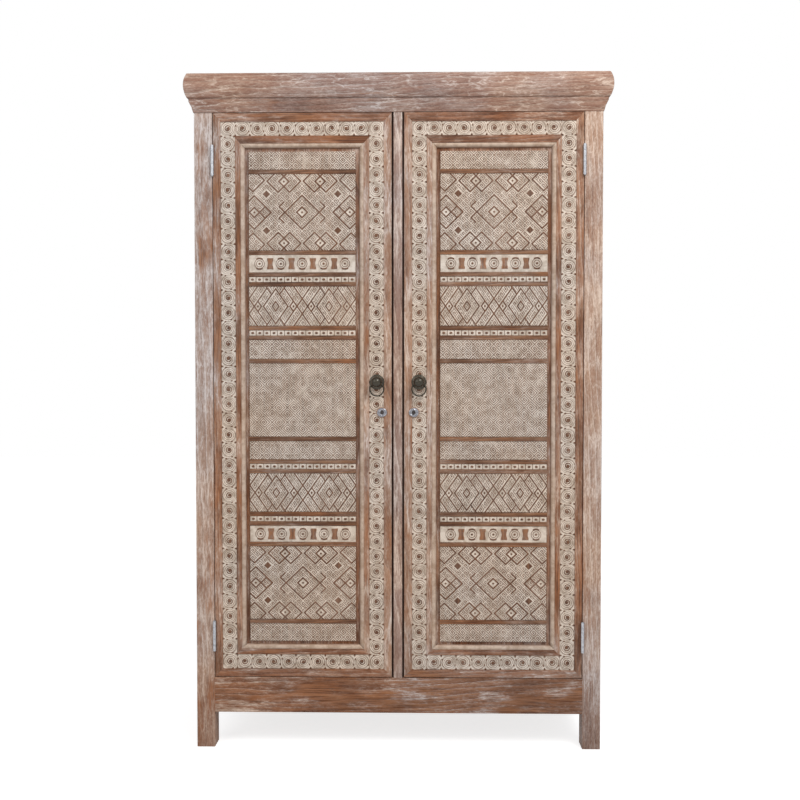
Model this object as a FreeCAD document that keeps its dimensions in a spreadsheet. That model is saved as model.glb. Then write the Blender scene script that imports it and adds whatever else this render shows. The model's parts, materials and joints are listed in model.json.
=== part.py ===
import FreeCAD, Part
import math
import os
import re
import Sketcher

# Two-door carved wardrobe, modelled in millimetres. X runs to the right, Y to the back, Z up.
# The origin lies on the floor, in the middle of the whole piece seen from above.

doc = FreeCAD.newDocument("wardrobe")

cells = (
    ("case_height", 1800),
    ("case_width", 1084),
    ("case_depth", 500),
    ("post_width", 48),
    ("front_post_depth", 55),
    ("back_post_depth", 45),
    ("leg_clearance", 95),
    ("apron_height", 95.5),
    ("top_rail_height", 80),
    ("front_rail_thickness", 27),
    ("side_rail_thickness", 25),
    ("side_rail_inset", 3),
    ("back_rail_thickness", 22),
    ("tenon_thickness", 8),
    ("tenon_length", 24),
    ("tenon_shoulder", 12),
    ("tenon_end_space", 1),
    ("groove_depth", 8),
    ("groove_end_space", 1),
    ("side_panel_thickness", 8),
    ("back_board_thickness", 10),
    ("back_board_count", 6),
    ("board_tongue_thickness", 4),
    ("board_tongue_reach", 6),
    ("bottom_board_thickness", 16),
    ("cleat_section", 20),
    ("top_board_thickness", 18),
    ("cornice_height", 100),
    ("cornice_crown_reach", 24),
    ("cornice_top_reach", 16),
    ("cornice_cove_reach", 12),
    ("cornice_foot_reach", 2),
    ("cornice_ovolo_height", 64),
    ("cornice_step_height", 9),
    ("cornice_cove_sag", 1.6),
    ("cornice_crown_flats", 10),
    ("mullion_width", 25),
    ("mullion_depth", 45),
    ("mullion_tenon_length", 15),
    ("mullion_shoulder", 4),
    ("door_gap", 2),
    ("mullion_gap", 2.5),
    ("door_thickness", 26),
    ("hinge_stile_width", 73),
    ("meeting_stile_width", 76),
    ("door_top_rail_height", 81),
    ("door_bottom_rail_height", 75),
    ("door_tenon_length", 40),
    ("panel_setback", 10),
    ("panel_tongue", 8),
    ("field_recess", 1.5),
    ("field_margin", 8.7),
    ("bead_width", 12),
    ("bead_depth", 10),
    ("border_band_width", 40),
    ("border_hinge_inset", 39.5),
    ("border_meeting_inset", 42),
    ("border_top_inset", 44),
    ("border_bottom_inset", 40.5),
    ("border_sink", 2),
    ("carving_sink", 2.5),
    ("bar_height", 10.1),
    ("field_side_bar", 3.5),
    ("pip_count", 15),
    ("pip_side", 11),
    ("roundel_count", 5),
    ("roundel_radius", 20),
    ("roundel_ring_width", 5.5),
    ("roundel_eye_radius", 8),
    ("lozenge_half_width", 30),
    ("lozenge_half_height", 44),
    ("star_half_width", 43),
    ("small_star_half_width", 20),
    ("fret_count", 8),
    ("fret_half_width", 14),
    ("spiral_column_count", 7),
    ("spiral_row_count", 5),
    ("spiral_half_width", 16.5),
    ("shelf_thickness", 18),
    ("shelf_drop", 300),
    ("shelf_side_space", 1),
    ("shelf_front_space", 3),
    ("cleat_thickness", 20),
    ("cleat_height", 70),
    ("cleat_setback", 30),
    ("hanging_rail_radius", 12.5),
    ("hanging_rail_drop", 36),
    ("socket_depth", 14),
    ("socket_wall", 5),
    ("socket_floor", 3),
    ("socket_flange_reach", 9),
    ("stop_height", 30),
    ("stop_thickness", 12),
    ("stop_overlap", 10),
    ("hinge_length", 80),
    ("hinge_top_inset", 126.5),
    ("hinge_bottom_inset", 110.5),
    ("hinge_pin_reach", 5),
    ("hinge_pin_radius", 2),
    ("hinge_bore_radius", 2.35),
    ("knuckle_radius", 4.5),
    ("knuckle_count", 5),
    ("knuckle_space", 0.5),
    ("leaf_width", 22),
    ("leaf_thickness", 1.8),
    ("leaf_space", 0.4),
    ("pin_head_radius", 3.2),
    ("pin_head_height", 1.5),
    ("knob_inset", 41),
    ("knob_height", 793),
    ("rose_radius", 20),
    ("rose_thickness", 4),
    ("rose_edge_thickness", 1.5),
    ("rose_crown_radius", 9),
    ("rose_shoulder_share", 0.8),
    ("spindle_radius", 4),
    ("spindle_length", 20),
    ("neck_radius", 5),
    ("ring_hole_reach", 10),
    ("ring_hole_radius", 2.9),
    ("ball_offset", 19),
    ("ball_radius", 14.5),
    ("ring_radius", 18.5),
    ("ring_wire_radius", 1.9),
    ("lock_inset", 28.5),
    ("lock_height", 711.7),
    ("lock_flange_radius", 12),
    ("lock_flange_thickness", 2.5),
    ("lock_barrel_radius", 9),
    ("lock_bore_radius", 6.4),
    ("lock_seat_radius", 13.5),
    ("knob_seat_radius", 19.9),
    ("plug_radius", 6),
    ("plug_recess", 0.5),
    ("cam_disc_radius", 9.6),
    ("cam_disc_thickness", 1),
    ("keyhole_width", 1.8),
    ("keyhole_height", 8),
    ("keyhole_depth", 4),
    ("cam_offset", 5),
    ("cam_pin_radius", 2),
    ("cam_pin_space", 0.6),
    ("bolt_travel", 10),
    ("bolt_thickness", 5),
    ("bolt_height", 24),
    ("bolt_space", 0.4),
    ("bolt_recess", 0.5),
    ("bolt_tail", 13),
    ("lock_case_width", 46),
    ("lock_case_height", 48),
    ("lock_case_depth", 10),
    ("lock_case_edge_inset", 2),
    ("lock_case_face", 2.5),
    ("bolt_end_space", 3),
    ("overrun", 5),
)

sheet = doc.addObject("Spreadsheet::Sheet", "sizes")
for row, (alias, amount) in enumerate(cells, start=1):
    sheet.set(f"A{row}", alias)
    sheet.set(f"B{row}", str(amount))
    sheet.setAlias(f"B{row}", alias)
doc.recompute()

# Sizes worked out from the sheet, written as formulas in its own words.
derived = {
    "post_height": "case_height - top_board_thickness",
    "inner_half_width": "case_width / 2 - post_width",
    "inner_depth": "case_depth - front_post_depth - back_post_depth",
    "knob_reach": "ring_hole_reach + ball_offset + ball_radius",
    "face_y": "(knob_reach - case_depth) / 2",
    "floor_z": "leg_clearance + apron_height",
    "door_bottom_z": "floor_z + door_gap",
    "door_top_z": "post_height - top_rail_height - mullion_gap",
    "door_height": "door_top_z - door_bottom_z",
    "door_inner_x": "mullion_width / 2 + mullion_gap",
    "door_width": "inner_half_width - door_gap - door_inner_x",
    "door_centre_x": "door_inner_x + door_width / 2",
    "opening_width": "door_width - hinge_stile_width - meeting_stile_width",
    "opening_height": "door_height - door_top_rail_height - door_bottom_rail_height",
    "opening_shift": "(meeting_stile_width - hinge_stile_width) / 2",
    "field_width": "opening_width - 2 * bead_width - 2 * field_margin",
    "field_height": "opening_height - 2 * bead_width - 2 * field_margin",
    "hinge_x": "inner_half_width - door_gap / 2",
    "hinge_top_z": "door_top_z - hinge_top_inset",
    "hinge_bottom_z": "door_bottom_z + hinge_bottom_inset",
    "knuckle_pitch": "hinge_length / knuckle_count",
    "leaf_let_in": "leaf_thickness - (door_gap - leaf_space) / 2",
    "knob_x": "door_inner_x + knob_inset",
    "knob_z": "door_bottom_z + knob_height",
    "lock_x": "door_inner_x + lock_inset",
    "lock_z": "door_bottom_z + lock_height",
    "cam_radius": "cam_offset * 2 ^ 0.5",
    "bolt_y": "door_thickness + lock_case_face + bolt_space",
    "bolt_hole_depth": "bolt_travel - bolt_recess - lock_case_edge_inset - mullion_gap + bolt_end_space",
    "shelf_z": "post_height - top_rail_height - shelf_drop",
    "side_rail_x": "case_width / 2 - side_rail_inset - side_rail_thickness / 2",
    "back_rail_y": "case_depth - back_rail_thickness / 2",
}

words = re.compile("[a-z]+(_[a-z]+)*")


def written_out(formula):
    # Every word becomes a cell of the sheet, or the formula that the word stands for.
    def spelled(found):
        word = found.group()
        if word in derived:
            return "(" + written_out(derived[word]) + ")"
        return "sizes." + word
    return words.sub(spelled, str(formula))


def amount_of(formula):
    return float(sheet.evalExpression(written_out(formula).replace("sizes.", "")))


def bind(thing, name, formula):
    thing.setExpression(name, written_out(formula))


def set_place(thing, place):
    for axis, formula in zip("xyz", place):
        bind(thing, "Placement.Base." + axis, formula)


planes = {"top": ("XY_Plane", 1), "front": ("XZ_Plane", -1), "side": ("YZ_Plane", 1)}


def new_body(label, place):
    body = doc.addObject("PartDesign::Body", label)
    body.Label = label
    set_place(body, place)
    return body


def new_sketch(body, view, offset="0"):
    # A sketch seen from above, from the front or from the side, a given way along its own axis.
    role, sense = planes[view]
    plane = next(item for item in body.Origin.OriginFeatures if item.Role == role)
    sketch = body.newObject("Sketcher::SketchObject", body.Label + "_outline")
    sketch.AttachmentSupport = (plane, [""])
    sketch.MapMode = "FlatFace"
    bind(sketch, "AttachmentOffset.Base.z", f"{sense} * ({offset})")
    return sketch


def hold(sketch, kind, item, end, formula):
    index = sketch.addConstraint(Sketcher.Constraint(kind, -1, 1, item, end, amount_of(formula)))
    bind(sketch, f"Constraints[{index}]", formula)


def add_loop(sketch, corners):
    # A closed outline whose corners are held at formulas.
    points = [FreeCAD.Vector(amount_of(across), amount_of(up), 0) for across, up in corners]
    ends = points[1:] + points[:1]
    lines = [sketch.addGeometry(Part.LineSegment(*pair), False) for pair in zip(points, ends)]
    for line, following in zip(lines, lines[1:] + lines[:1]):
        sketch.addConstraint(Sketcher.Constraint("Coincident", line, 2, following, 1))
    for line, (across, up) in zip(lines, corners):
        hold(sketch, "DistanceX", line, 1, across)
        hold(sketch, "DistanceY", line, 1, up)
    return lines


def add_box(sketch, left, low, right, high):
    return add_loop(sketch, ((left, low), (right, low), (right, high), (left, high)))


def add_diamond(sketch, across, up, half_width, half_height):
    corners = (
        (f"{across} + {half_width}", up),
        (across, f"{up} + {half_height}"),
        (f"{across} - {half_width}", up),
        (across, f"{up} - {half_height}"),
    )
    return add_loop(sketch, corners)


def add_circle(sketch, across, up, radius):
    centre = FreeCAD.Vector(amount_of(across), amount_of(up), 0)
    circle = Part.Circle(centre, FreeCAD.Vector(0, 0, 1), amount_of(radius))
    item = sketch.addGeometry(circle, False)
    hold(sketch, "DistanceX", item, 3, across)
    hold(sketch, "DistanceY", item, 3, up)
    index = sketch.addConstraint(Sketcher.Constraint("Radius", item, amount_of(radius)))
    bind(sketch, f"Constraints[{index}]", radius)
    return item


def extrude(kind, body, sketch, length, along, name):
    feature = body.newObject(kind, body.Label + "_" + name)
    feature.Profile = sketch
    bind(feature, "Length", length)
    if along == 0:
        feature.SideType = "Symmetric"
    sketch.Visibility = False
    return feature


def grow(body, sketch, length, along=1, name="pad"):
    # Adds stock to the sketch: along 1 to the back, to the right or upwards, -1 the other way, 0 both.
    feature = extrude("PartDesign::Pad", body, sketch, length, along, name)
    sense = -1 if sketch.AttachmentSupport[0][0].Role == "XZ_Plane" else 1
    feature.Reversed = along * sense < 0
    body.Tip = feature
    return feature


def cut(body, sketch, length, along=1, name="pocket"):
    # Takes stock away, with the same sense of direction.
    doc.recompute()
    before = body.Shape.Volume
    feature = extrude("PartDesign::Pocket", body, sketch, length, along, name)
    sense = -1 if sketch.AttachmentSupport[0][0].Role == "XZ_Plane" else 1
    feature.Reversed = along * sense > 0
    body.Tip = feature
    doc.recompute()
    if not body.Shape.Volume < before:
        raise ValueError(body.Label + " was not cut by " + feature.Label)
    return feature


def turn(body, sketch, name="turned"):
    # Turns the outline round the upright axis of its sketch.
    feature = body.newObject("PartDesign::Revolution", body.Label + "_" + name)
    feature.Profile = sketch
    feature.ReferenceAxis = (sketch, ["V_Axis"])
    feature.Angle = 360
    sketch.Visibility = False
    body.Tip = feature
    return feature


def repeat(body, feature, sketch, axis, length, count, name="row"):
    doc.recompute()
    pattern = body.newObject("PartDesign::LinearPattern", body.Label + "_" + name)
    pattern.Originals = [feature]
    pattern.Direction = (sketch, [axis])
    bind(pattern, "Length", length)
    body.Tip = pattern
    pattern.Occurrences = int(round(amount_of(count)))
    doc.recompute()
    return pattern


def group(label, bodies):
    gathered = doc.addObject("Part::Compound", label)
    gathered.Label = label
    gathered.Links = bodies
    return gathered


sides = (("left", -1), ("right", 1))
nodes = []


def post_place(sign, end):
    back = "face_y + case_depth - back_post_depth"
    return (f"{sign} * inner_half_width", "face_y" if end == "front" else back, "0")


def cut_leaf_seats(body, sign, face_x, base_z):
    # Shallow seats for the two hinge leaves, cut square in from a face that looks along X.
    sketch = new_sketch(body, "side", face_x)
    for centre in ("hinge_bottom_z", "hinge_top_z"):
        low = f"{centre} - {base_z} - hinge_length / 2"
        high = f"{centre} - {base_z} + hinge_length / 2"
        add_box(sketch, "0", low, "leaf_width", high)
    return cut(body, sketch, "leaf_let_in", sign, "leaf_seats")


def front_post(word, sign):
    body = new_body("post_front_" + word, post_place(sign, "front"))
    sketch = new_sketch(body, "top")
    add_box(sketch, "0", "0", f"{sign} * post_width", "front_post_depth")
    grow(body, sketch, "post_height")
    middle = "front_rail_thickness / 2"
    cut_rail_mortises(body, sign, f"{middle} - tenon_thickness / 2", f"{middle} + tenon_thickness / 2")
    cut_side_mortises(body, sign, "front_post_depth", -1)
    cut_leaf_seats(body, sign, "0", "0")
    return body


def back_post(word, sign):
    body = new_body("post_back_" + word, post_place(sign, "back"))
    sketch = new_sketch(body, "top")
    add_box(sketch, "0", "0", f"{sign} * post_width", "back_post_depth")
    grow(body, sketch, "post_height")
    middle = "back_post_depth - back_rail_thickness / 2"
    cut_rail_mortises(body, sign, f"{middle} - tenon_thickness / 2", f"{middle} + tenon_thickness / 2")
    sketch = new_sketch(body, "side")
    near = f"{middle} - back_board_thickness / 2"
    far = f"{middle} + back_board_thickness / 2"
    add_box(sketch, near, "floor_z - groove_depth", far, "post_height - top_rail_height + groove_depth")
    cut(body, sketch, "groove_depth", sign, "board_groove")
    cut_side_mortises(body, sign, "0", 1)
    return body


def cut_rail_mortises(body, sign, near, far):
    # The mortises that take the tenons of the low and high rails running along X.
    sketch = new_sketch(body, "side")
    add_box(sketch, near, "leg_clearance + tenon_shoulder", far, "floor_z - tenon_shoulder")
    add_box(sketch, near, "post_height - top_rail_height + tenon_shoulder", far,
            "post_height - tenon_shoulder")
    cut(body, sketch, "tenon_length", sign, "rail_mortises")


def cut_side_mortises(body, sign, face_y, along):
    # The mortises and the panel groove of the side frame, cut into the face that looks along Y.
    middle = f"{sign} * (post_width - side_rail_inset - side_rail_thickness / 2)"
    half = "tenon_thickness / 2"
    sketch = new_sketch(body, "front", face_y)
    low_top = "floor_z - tenon_shoulder"
    high_low = "post_height - top_rail_height + tenon_shoulder"
    add_box(sketch, f"{middle} - {half}", "leg_clearance + tenon_shoulder", f"{middle} + {half}", low_top)
    add_box(sketch, f"{middle} - {half}", high_low, f"{middle} + {half}", "post_height - tenon_shoulder")
    cut(body, sketch, "tenon_length", along, "side_mortises")
    sketch = new_sketch(body, "front", face_y)
    half = "side_panel_thickness / 2"
    add_box(sketch, f"{middle} - {half}", "floor_z - groove_depth", f"{middle} + {half}",
            "post_height - top_rail_height + groove_depth")
    cut(body, sketch, "groove_depth", along, "panel_groove")


def cross_rail(label, place, view, span, thickness, height, groove_width, groove_at):
    # A rail between two posts, centred on its length, with a tenon at each end.
    body = new_body(label, place)
    sketch = new_sketch(body, view)
    add_box(sketch, f"-{thickness} / 2", "0", f"{thickness} / 2", height)
    grow(body, sketch, span, 0)
    if groove_width:
        low, high = ("0", "groove_depth")
        if groove_at == "top":
            low, high = (f"{height} - groove_depth", height)
        sketch = new_sketch(body, view)
        add_box(sketch, f"-{groove_width} / 2", low, f"{groove_width} / 2", high)
        cut(body, sketch, f"{span} + overrun", 0, "groove")
    sketch = new_sketch(body, view)
    add_box(sketch, "-tenon_thickness / 2", "tenon_shoulder", "tenon_thickness / 2",
            f"{height} - tenon_shoulder")
    grow(body, sketch, f"{span} + 2 * (tenon_length - tenon_end_space)", 0, "tenons")
    return body


def cut_mullion_mortise(body, face_z, along):
    sketch = new_sketch(body, "top", face_z)
    reach = "(mullion_width / 2 - mullion_shoulder)"
    add_box(sketch, f"-{reach}", "-tenon_thickness / 2", reach, "tenon_thickness / 2")
    cut(body, sketch, "mullion_tenon_length", along, "mullion_mortise")


def apron():
    place = ("0", "face_y + front_rail_thickness / 2", "leg_clearance")
    body = cross_rail("apron_rail", place, "side", "2 * inner_half_width", "front_rail_thickness",
                      "apron_height", "", "")
    cut_mullion_mortise(body, "apron_height", -1)
    return body


def front_top_rail():
    place = ("0", "face_y + front_rail_thickness / 2", "post_height - top_rail_height")
    body = cross_rail("front_top_rail", place, "side", "2 * inner_half_width", "front_rail_thickness",
                      "top_rail_height", "", "")
    cut_mullion_mortise(body, "0", 1)
    return body


def back_rail(word):
    low = word == "bottom"
    height = "apron_height" if low else "top_rail_height"
    base = "leg_clearance" if low else "post_height - top_rail_height"
    return cross_rail(f"back_{word}_rail", ("0", "face_y + back_rail_y", base), "side",
                      "2 * inner_half_width", "back_rail_thickness", height,
                      "back_board_thickness", "top" if low else "bottom")


def side_rail(word, sign, level):
    low = level == "bottom"
    height = "apron_height" if low else "top_rail_height"
    base = "leg_clearance" if low else "post_height - top_rail_height"
    place = (f"{sign} * side_rail_x", "face_y + front_post_depth + inner_depth / 2", base)
    return cross_rail(f"side_{level}_rail_{word}", place, "front", "inner_depth",
                      "side_rail_thickness", height, "side_panel_thickness",
                      "top" if low else "bottom")


def side_panel(word, sign):
    place = (f"{sign} * side_rail_x", "face_y + front_post_depth + inner_depth / 2", "floor_z")
    body = new_body("side_panel_" + word, place)
    reach = "(groove_depth - groove_end_space)"
    sketch = new_sketch(body, "side")
    add_box(sketch, f"-inner_depth / 2 - {reach}", f"-{reach}", f"inner_depth / 2 + {reach}",
            f"post_height - top_rail_height - floor_z + {reach}")
    grow(body, sketch, "side_panel_thickness", 0)
    return body


def back_board(index, count):
    # One upright board, tongue on its left edge and groove on its right edge.
    width = "((2 * (inner_half_width + groove_depth - groove_end_space)) / back_board_count)"
    reach = "(groove_depth - groove_end_space)"
    place = (f"{width} * ({index} - back_board_count / 2)", "face_y + back_rail_y", f"floor_z - {reach}")
    body = new_body(f"back_board_{index + 1}", place)
    half = "back_board_thickness / 2"
    tongue = "board_tongue_thickness / 2"
    corners = [("0", f"-{half}"), (width, f"-{half}")]
    if index < count - 1:
        corners += [(width, f"-{tongue}"), (f"{width} - board_tongue_reach", f"-{tongue}"),
                    (f"{width} - board_tongue_reach", tongue), (width, tongue)]
    corners += [(width, half), ("0", half)]
    if index > 0:
        corners += [("0", tongue), ("-board_tongue_reach", tongue),
                    ("-board_tongue_reach", f"-{tongue}"), ("0", f"-{tongue}")]
    sketch = new_sketch(body, "top")
    add_loop(sketch, corners)
    grow(body, sketch, f"post_height - top_rail_height - floor_z + 2 * {reach}")
    return body


def back_boards():
    count = int(round(amount_of("back_board_count")))
    return group("back_boards", [back_board(index, count) for index in range(count)])


def bottom_board():
    # The floor of the case, notched round the four posts and the centre mullion.
    place = ("0", "face_y", "floor_z - bottom_board_thickness")
    body = new_body("bottom_board", place)
    wide = "(case_width / 2 - side_rail_inset - side_rail_thickness)"
    slim = "inner_half_width"
    near = "front_rail_thickness"
    post_end = "front_post_depth"
    post_start = "(case_depth - back_post_depth)"
    far = "(case_depth - back_rail_thickness)"
    notch = "mullion_width / 2"
    corners = ((f"-{slim}", near), (f"-{notch}", near), (f"-{notch}", "mullion_depth"),
               (notch, "mullion_depth"), (notch, near), (slim, near), (slim, post_end), (wide, post_end),
               (wide, post_start), (slim, post_start), (slim, far), (f"-{slim}", far),
               (f"-{slim}", post_start), (f"-{wide}", post_start), (f"-{wide}", post_end),
               (f"-{slim}", post_end))
    sketch = new_sketch(body, "top")
    add_loop(sketch, corners)
    grow(body, sketch, "bottom_board_thickness")
    return body


def bottom_cleats():
    cleats = []
    far = "case_depth - back_rail_thickness - cleat_section"
    for word, base in (("front", "front_rail_thickness"), ("back", far)):
        cleat = doc.addObject("Part::Box", "bottom_cleat_" + word)
        bind(cleat, "Length", "2 * inner_half_width")
        bind(cleat, "Width", "cleat_section")
        bind(cleat, "Height", "cleat_section")
        low = "floor_z - bottom_board_thickness - cleat_section"
        set_place(cleat, ("-inner_half_width", f"face_y + {base}", low))
        cleats.append(cleat)
    return group("bottom_cleats", cleats)


def top_board():
    body = new_body("top_board", ("0", "face_y", "post_height"))
    sketch = new_sketch(body, "top")
    add_box(sketch, "-case_width / 2", "0", "case_width / 2", "case_depth")
    grow(body, sketch, "top_board_thickness")
    return body


def cornice_outline(sketch, sense):
    # Large quarter-round crown, a quirk and a shallow cove below it. The reach runs along sense.
    height = "cornice_height"
    quirk = "(cornice_height - cornice_ovolo_height)"
    step = f"({quirk} - cornice_step_height)"
    corners = [("0", "0"), (f"{sense} * cornice_foot_reach", "0"),
               (f"{sense} * ((cornice_foot_reach + cornice_cove_reach) / 2 - cornice_cove_sag)",
                f"{step} / 2"),
               (f"{sense} * cornice_cove_reach", step), (f"{sense} * cornice_cove_reach", quirk),
               (f"{sense} * cornice_top_reach", quirk)]
    # The crown is a run of short flats on a circle through its foot, its middle and its top.
    sag = amount_of("cornice_crown_reach - cornice_top_reach")
    tall = amount_of("cornice_ovolo_height")
    radius = (tall * tall / 4 + sag * sag) / (2 * sag)
    flats = int(round(amount_of("cornice_crown_flats")))
    for index in range(1, flats):
        height_share = index / flats
        level = (height_share - 0.5) * tall
        reach_share = ((radius * radius - level * level) ** 0.5 - radius + sag) / sag
        bulge = f"{reach_share:.5f} * (cornice_crown_reach - cornice_top_reach)"
        corners.append((f"{sense} * (cornice_top_reach + {bulge})",
                        f"{quirk} + {height_share} * cornice_ovolo_height"))
    corners += [(f"{sense} * cornice_top_reach", height), ("0", height)]
    add_loop(sketch, corners)


def cut_mitre(body, view, end, start, toward, run, reach, depth, base):
    # Takes the waste off one end of a piece, beyond a 45 degree line. The line begins at start and
    # leads along toward while it crosses the piece along reach. end says which end of the piece.
    sketch = new_sketch(body, view, base)
    near = (f"{start} - {toward} * overrun", f"-{reach} * overrun")
    far = (f"{start} + {toward} * ({run} + overrun)", f"{reach} * ({run} + overrun)")
    waste = (far[0], near[1]) if toward == end else (near[0], far[1])
    add_loop(sketch, (near, far, waste))
    cut(body, sketch, depth, 1, "mitre")


def cornice_front():
    place = ("0", "face_y", "case_height - cornice_height")
    body = new_body("cornice_front", place)
    sketch = new_sketch(body, "side")
    cornice_outline(sketch, -1)
    grow(body, sketch, "case_width + 2 * cornice_crown_reach", 0)
    for sign in (-1, 1):
        cut_mitre(body, "top", sign, f"{sign} * case_width / 2", sign, "cornice_crown_reach", -1,
                  "cornice_height + 2 * overrun", "-overrun")
    return body


def cornice_side(word, sign):
    # A straight length along Y on the outer side of the case, square at the back.
    place = (f"{sign} * case_width / 2", "face_y", "case_height - cornice_height")
    body = new_body("cornice_" + word, place)
    sketch = new_sketch(body, "front", "case_depth")
    cornice_outline(sketch, sign)
    grow(body, sketch, "case_depth + cornice_crown_reach", -1)
    sketch = new_sketch(body, "top", "-overrun")
    beyond = "(cornice_crown_reach + overrun)"
    corners = ((f"-{sign} * overrun", "overrun"), (f"{sign} * {beyond}", f"-{beyond}"),
               (f"-{sign} * overrun", f"-{beyond}"))
    add_loop(sketch, corners)
    cut(body, sketch, "cornice_height + 2 * overrun", 1, "mitre")
    return body


def centre_mullion():
    # The fixed upright between the doors. It has a tenon at each end, a foot in the notch of the
    # bottom board, and a hole for each lock bolt.
    height = "post_height - top_rail_height - floor_z"
    body = new_body("centre_mullion", ("0", "face_y", "floor_z"))
    sketch = new_sketch(body, "top")
    add_box(sketch, "-mullion_width / 2", "0", "mullion_width / 2", "mullion_depth")
    grow(body, sketch, height)
    sketch = new_sketch(body, "top", "-bottom_board_thickness")
    add_box(sketch, "-mullion_width / 2", "front_rail_thickness", "mullion_width / 2", "mullion_depth")
    grow(body, sketch, "bottom_board_thickness", 1, "foot")
    sketch = new_sketch(body, "top", "-(mullion_tenon_length - tenon_end_space)")
    middle = "front_rail_thickness / 2"
    reach = "(mullion_width / 2 - mullion_shoulder)"
    add_box(sketch, f"-{reach}", f"{middle} - tenon_thickness / 2", reach,
            f"{middle} + tenon_thickness / 2")
    grow(body, sketch, f"{height} + 2 * (mullion_tenon_length - tenon_end_space)", 1, "tenons")
    for word, sign in sides:
        sketch = new_sketch(body, "side", f"{sign} * mullion_width / 2")
        add_box(sketch, "bolt_y - bolt_space", "lock_z - floor_z - bolt_height / 2 - bolt_space",
                "bolt_y + bolt_thickness + bolt_space",
                "lock_z - floor_z + bolt_height / 2 + bolt_space")
        cut(body, sketch, "bolt_hole_depth", -sign, "bolt_hole")
    return body


def shelf():
    place = ("0", "face_y + mullion_depth + shelf_front_space", "shelf_z - shelf_thickness")
    body = new_body("shelf", place)
    sketch = new_sketch(body, "top")
    reach = "(inner_half_width - shelf_side_space)"
    add_box(sketch, f"-{reach}", "0", reach,
            "case_depth - back_rail_thickness - mullion_depth - 2 * shelf_front_space")
    grow(body, sketch, "shelf_thickness")
    return body


def shelf_cleats():
    cleats = []
    for word, sign in sides:
        cleat = doc.addObject("Part::Box", "shelf_cleat_" + word)
        bind(cleat, "Length", "cleat_thickness")
        bind(cleat, "Width", "case_depth - back_rail_thickness - cleat_setback")
        bind(cleat, "Height", "cleat_height")
        start = "-inner_half_width" if sign < 0 else "inner_half_width - cleat_thickness"
        set_place(cleat, (start, "face_y + cleat_setback", "shelf_z - shelf_thickness - cleat_height"))
        cleats.append(cleat)
    return group("shelf_cleats", cleats)


rail_centre_y = "face_y + case_depth / 2"
rail_centre_z = "shelf_z - shelf_thickness - hanging_rail_drop"


def hanging_rail():
    body = new_body("hanging_rail", ("0", rail_centre_y, rail_centre_z))
    sketch = new_sketch(body, "side")
    add_circle(sketch, "0", "0", "hanging_rail_radius")
    grow(body, sketch, "2 * (inner_half_width - cleat_thickness - socket_floor)", 0)
    return body


def rail_socket(word, sign):
    # A turned cup with a thin flange against the cleat.
    base = f"{sign} * (inner_half_width - cleat_thickness)"
    body = new_body("rail_socket_" + word, (base, rail_centre_y, rail_centre_z))
    sketch = new_sketch(body, "side")
    add_circle(sketch, "0", "0", "hanging_rail_radius + socket_wall")
    grow(body, sketch, "socket_depth", -sign)
    sketch = new_sketch(body, "side")
    add_circle(sketch, "0", "0", "hanging_rail_radius + socket_wall + socket_flange_reach")
    grow(body, sketch, "socket_floor", -sign, "flange")
    sketch = new_sketch(body, "side", f"-{sign} * socket_floor")
    add_circle(sketch, "0", "0", "hanging_rail_radius")
    cut(body, sketch, "socket_depth", -sign, "cup")
    return body


def rail_sockets():
    return group("rail_sockets", [rail_socket(word, sign) for word, sign in sides])


def door_stops():
    # Two strips behind the top rail that the closed doors lie against.
    stops = []
    for word, sign in sides:
        stop = doc.addObject("Part::Box", "door_stop_" + word)
        bind(stop, "Length", "inner_half_width - mullion_width / 2")
        bind(stop, "Width", "stop_thickness")
        bind(stop, "Height", "stop_height")
        start = "-inner_half_width" if sign < 0 else "mullion_width / 2"
        low = "post_height - top_rail_height - mullion_gap - stop_overlap"
        set_place(stop, (start, "face_y + front_rail_thickness", low))
        stops.append(stop)
    return group("door_stops", stops)


def hinge_leaf(label, sign, side, centre_z, owned):
    # A plate beside the pin and its share of the knuckles. side 1 is the leaf on the post.
    place = (f"{sign} * hinge_x", "face_y - hinge_pin_reach", centre_z)
    body = new_body(label, place)
    away = sign * side
    near = f"{away} * leaf_space / 2"
    far = f"{away} * (leaf_space / 2 + leaf_thickness)"
    sketch = new_sketch(body, "top")
    add_box(sketch, near, "hinge_pin_reach", far, "hinge_pin_reach + leaf_width")
    grow(body, sketch, "hinge_length", 0, "plate")
    length = "knuckle_pitch - knuckle_space"
    first = f"(-hinge_length / 2 + ({owned[0]} + 0.5) * knuckle_pitch)"
    run = f"2 * {len(owned) - 1} * knuckle_pitch"
    sketch = new_sketch(body, "top", first)
    add_box(sketch, near, "hinge_bore_radius + leaf_space", far, "hinge_pin_reach")
    tab = grow(body, sketch, length, 0, "tab")
    repeat(body, tab, sketch, "N_Axis", run, len(owned), "tabs")
    sketch = new_sketch(body, "top", first)
    add_circle(sketch, "0", "0", "knuckle_radius")
    add_circle(sketch, "0", "0", "hinge_pin_radius" if side > 0 else "hinge_bore_radius")
    knuckle = grow(body, sketch, length, 0, "knuckle")
    repeat(body, knuckle, sketch, "N_Axis", run, len(owned), "knuckles")
    return body


def hinge_leaves(label, sign, side):
    owned = (0, 2, 4) if side > 0 else (1, 3)
    levels = (("bottom", "hinge_bottom_z"), ("top", "hinge_top_z"))
    leaves = [hinge_leaf(f"{label}_{level}", sign, side, centre, owned) for level, centre in levels]
    return group(label, leaves)


def hinge_pin(label, sign, centre_z):
    place = (f"{sign} * hinge_x", "face_y - hinge_pin_reach", centre_z)
    body = new_body(label, place)
    top = "hinge_length / 2"
    sketch = new_sketch(body, "front")
    corners = (("0", f"-{top} - pin_head_height"), ("pin_head_radius", f"-{top} - pin_head_height"),
               ("pin_head_radius", f"-{top}"), ("hinge_pin_radius", f"-{top}"),
               ("hinge_pin_radius", top), ("pin_head_radius", top),
               ("pin_head_radius", f"{top} + pin_head_height"), ("0", f"{top} + pin_head_height"))
    add_loop(sketch, corners)
    turn(body, sketch)
    return body


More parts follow.
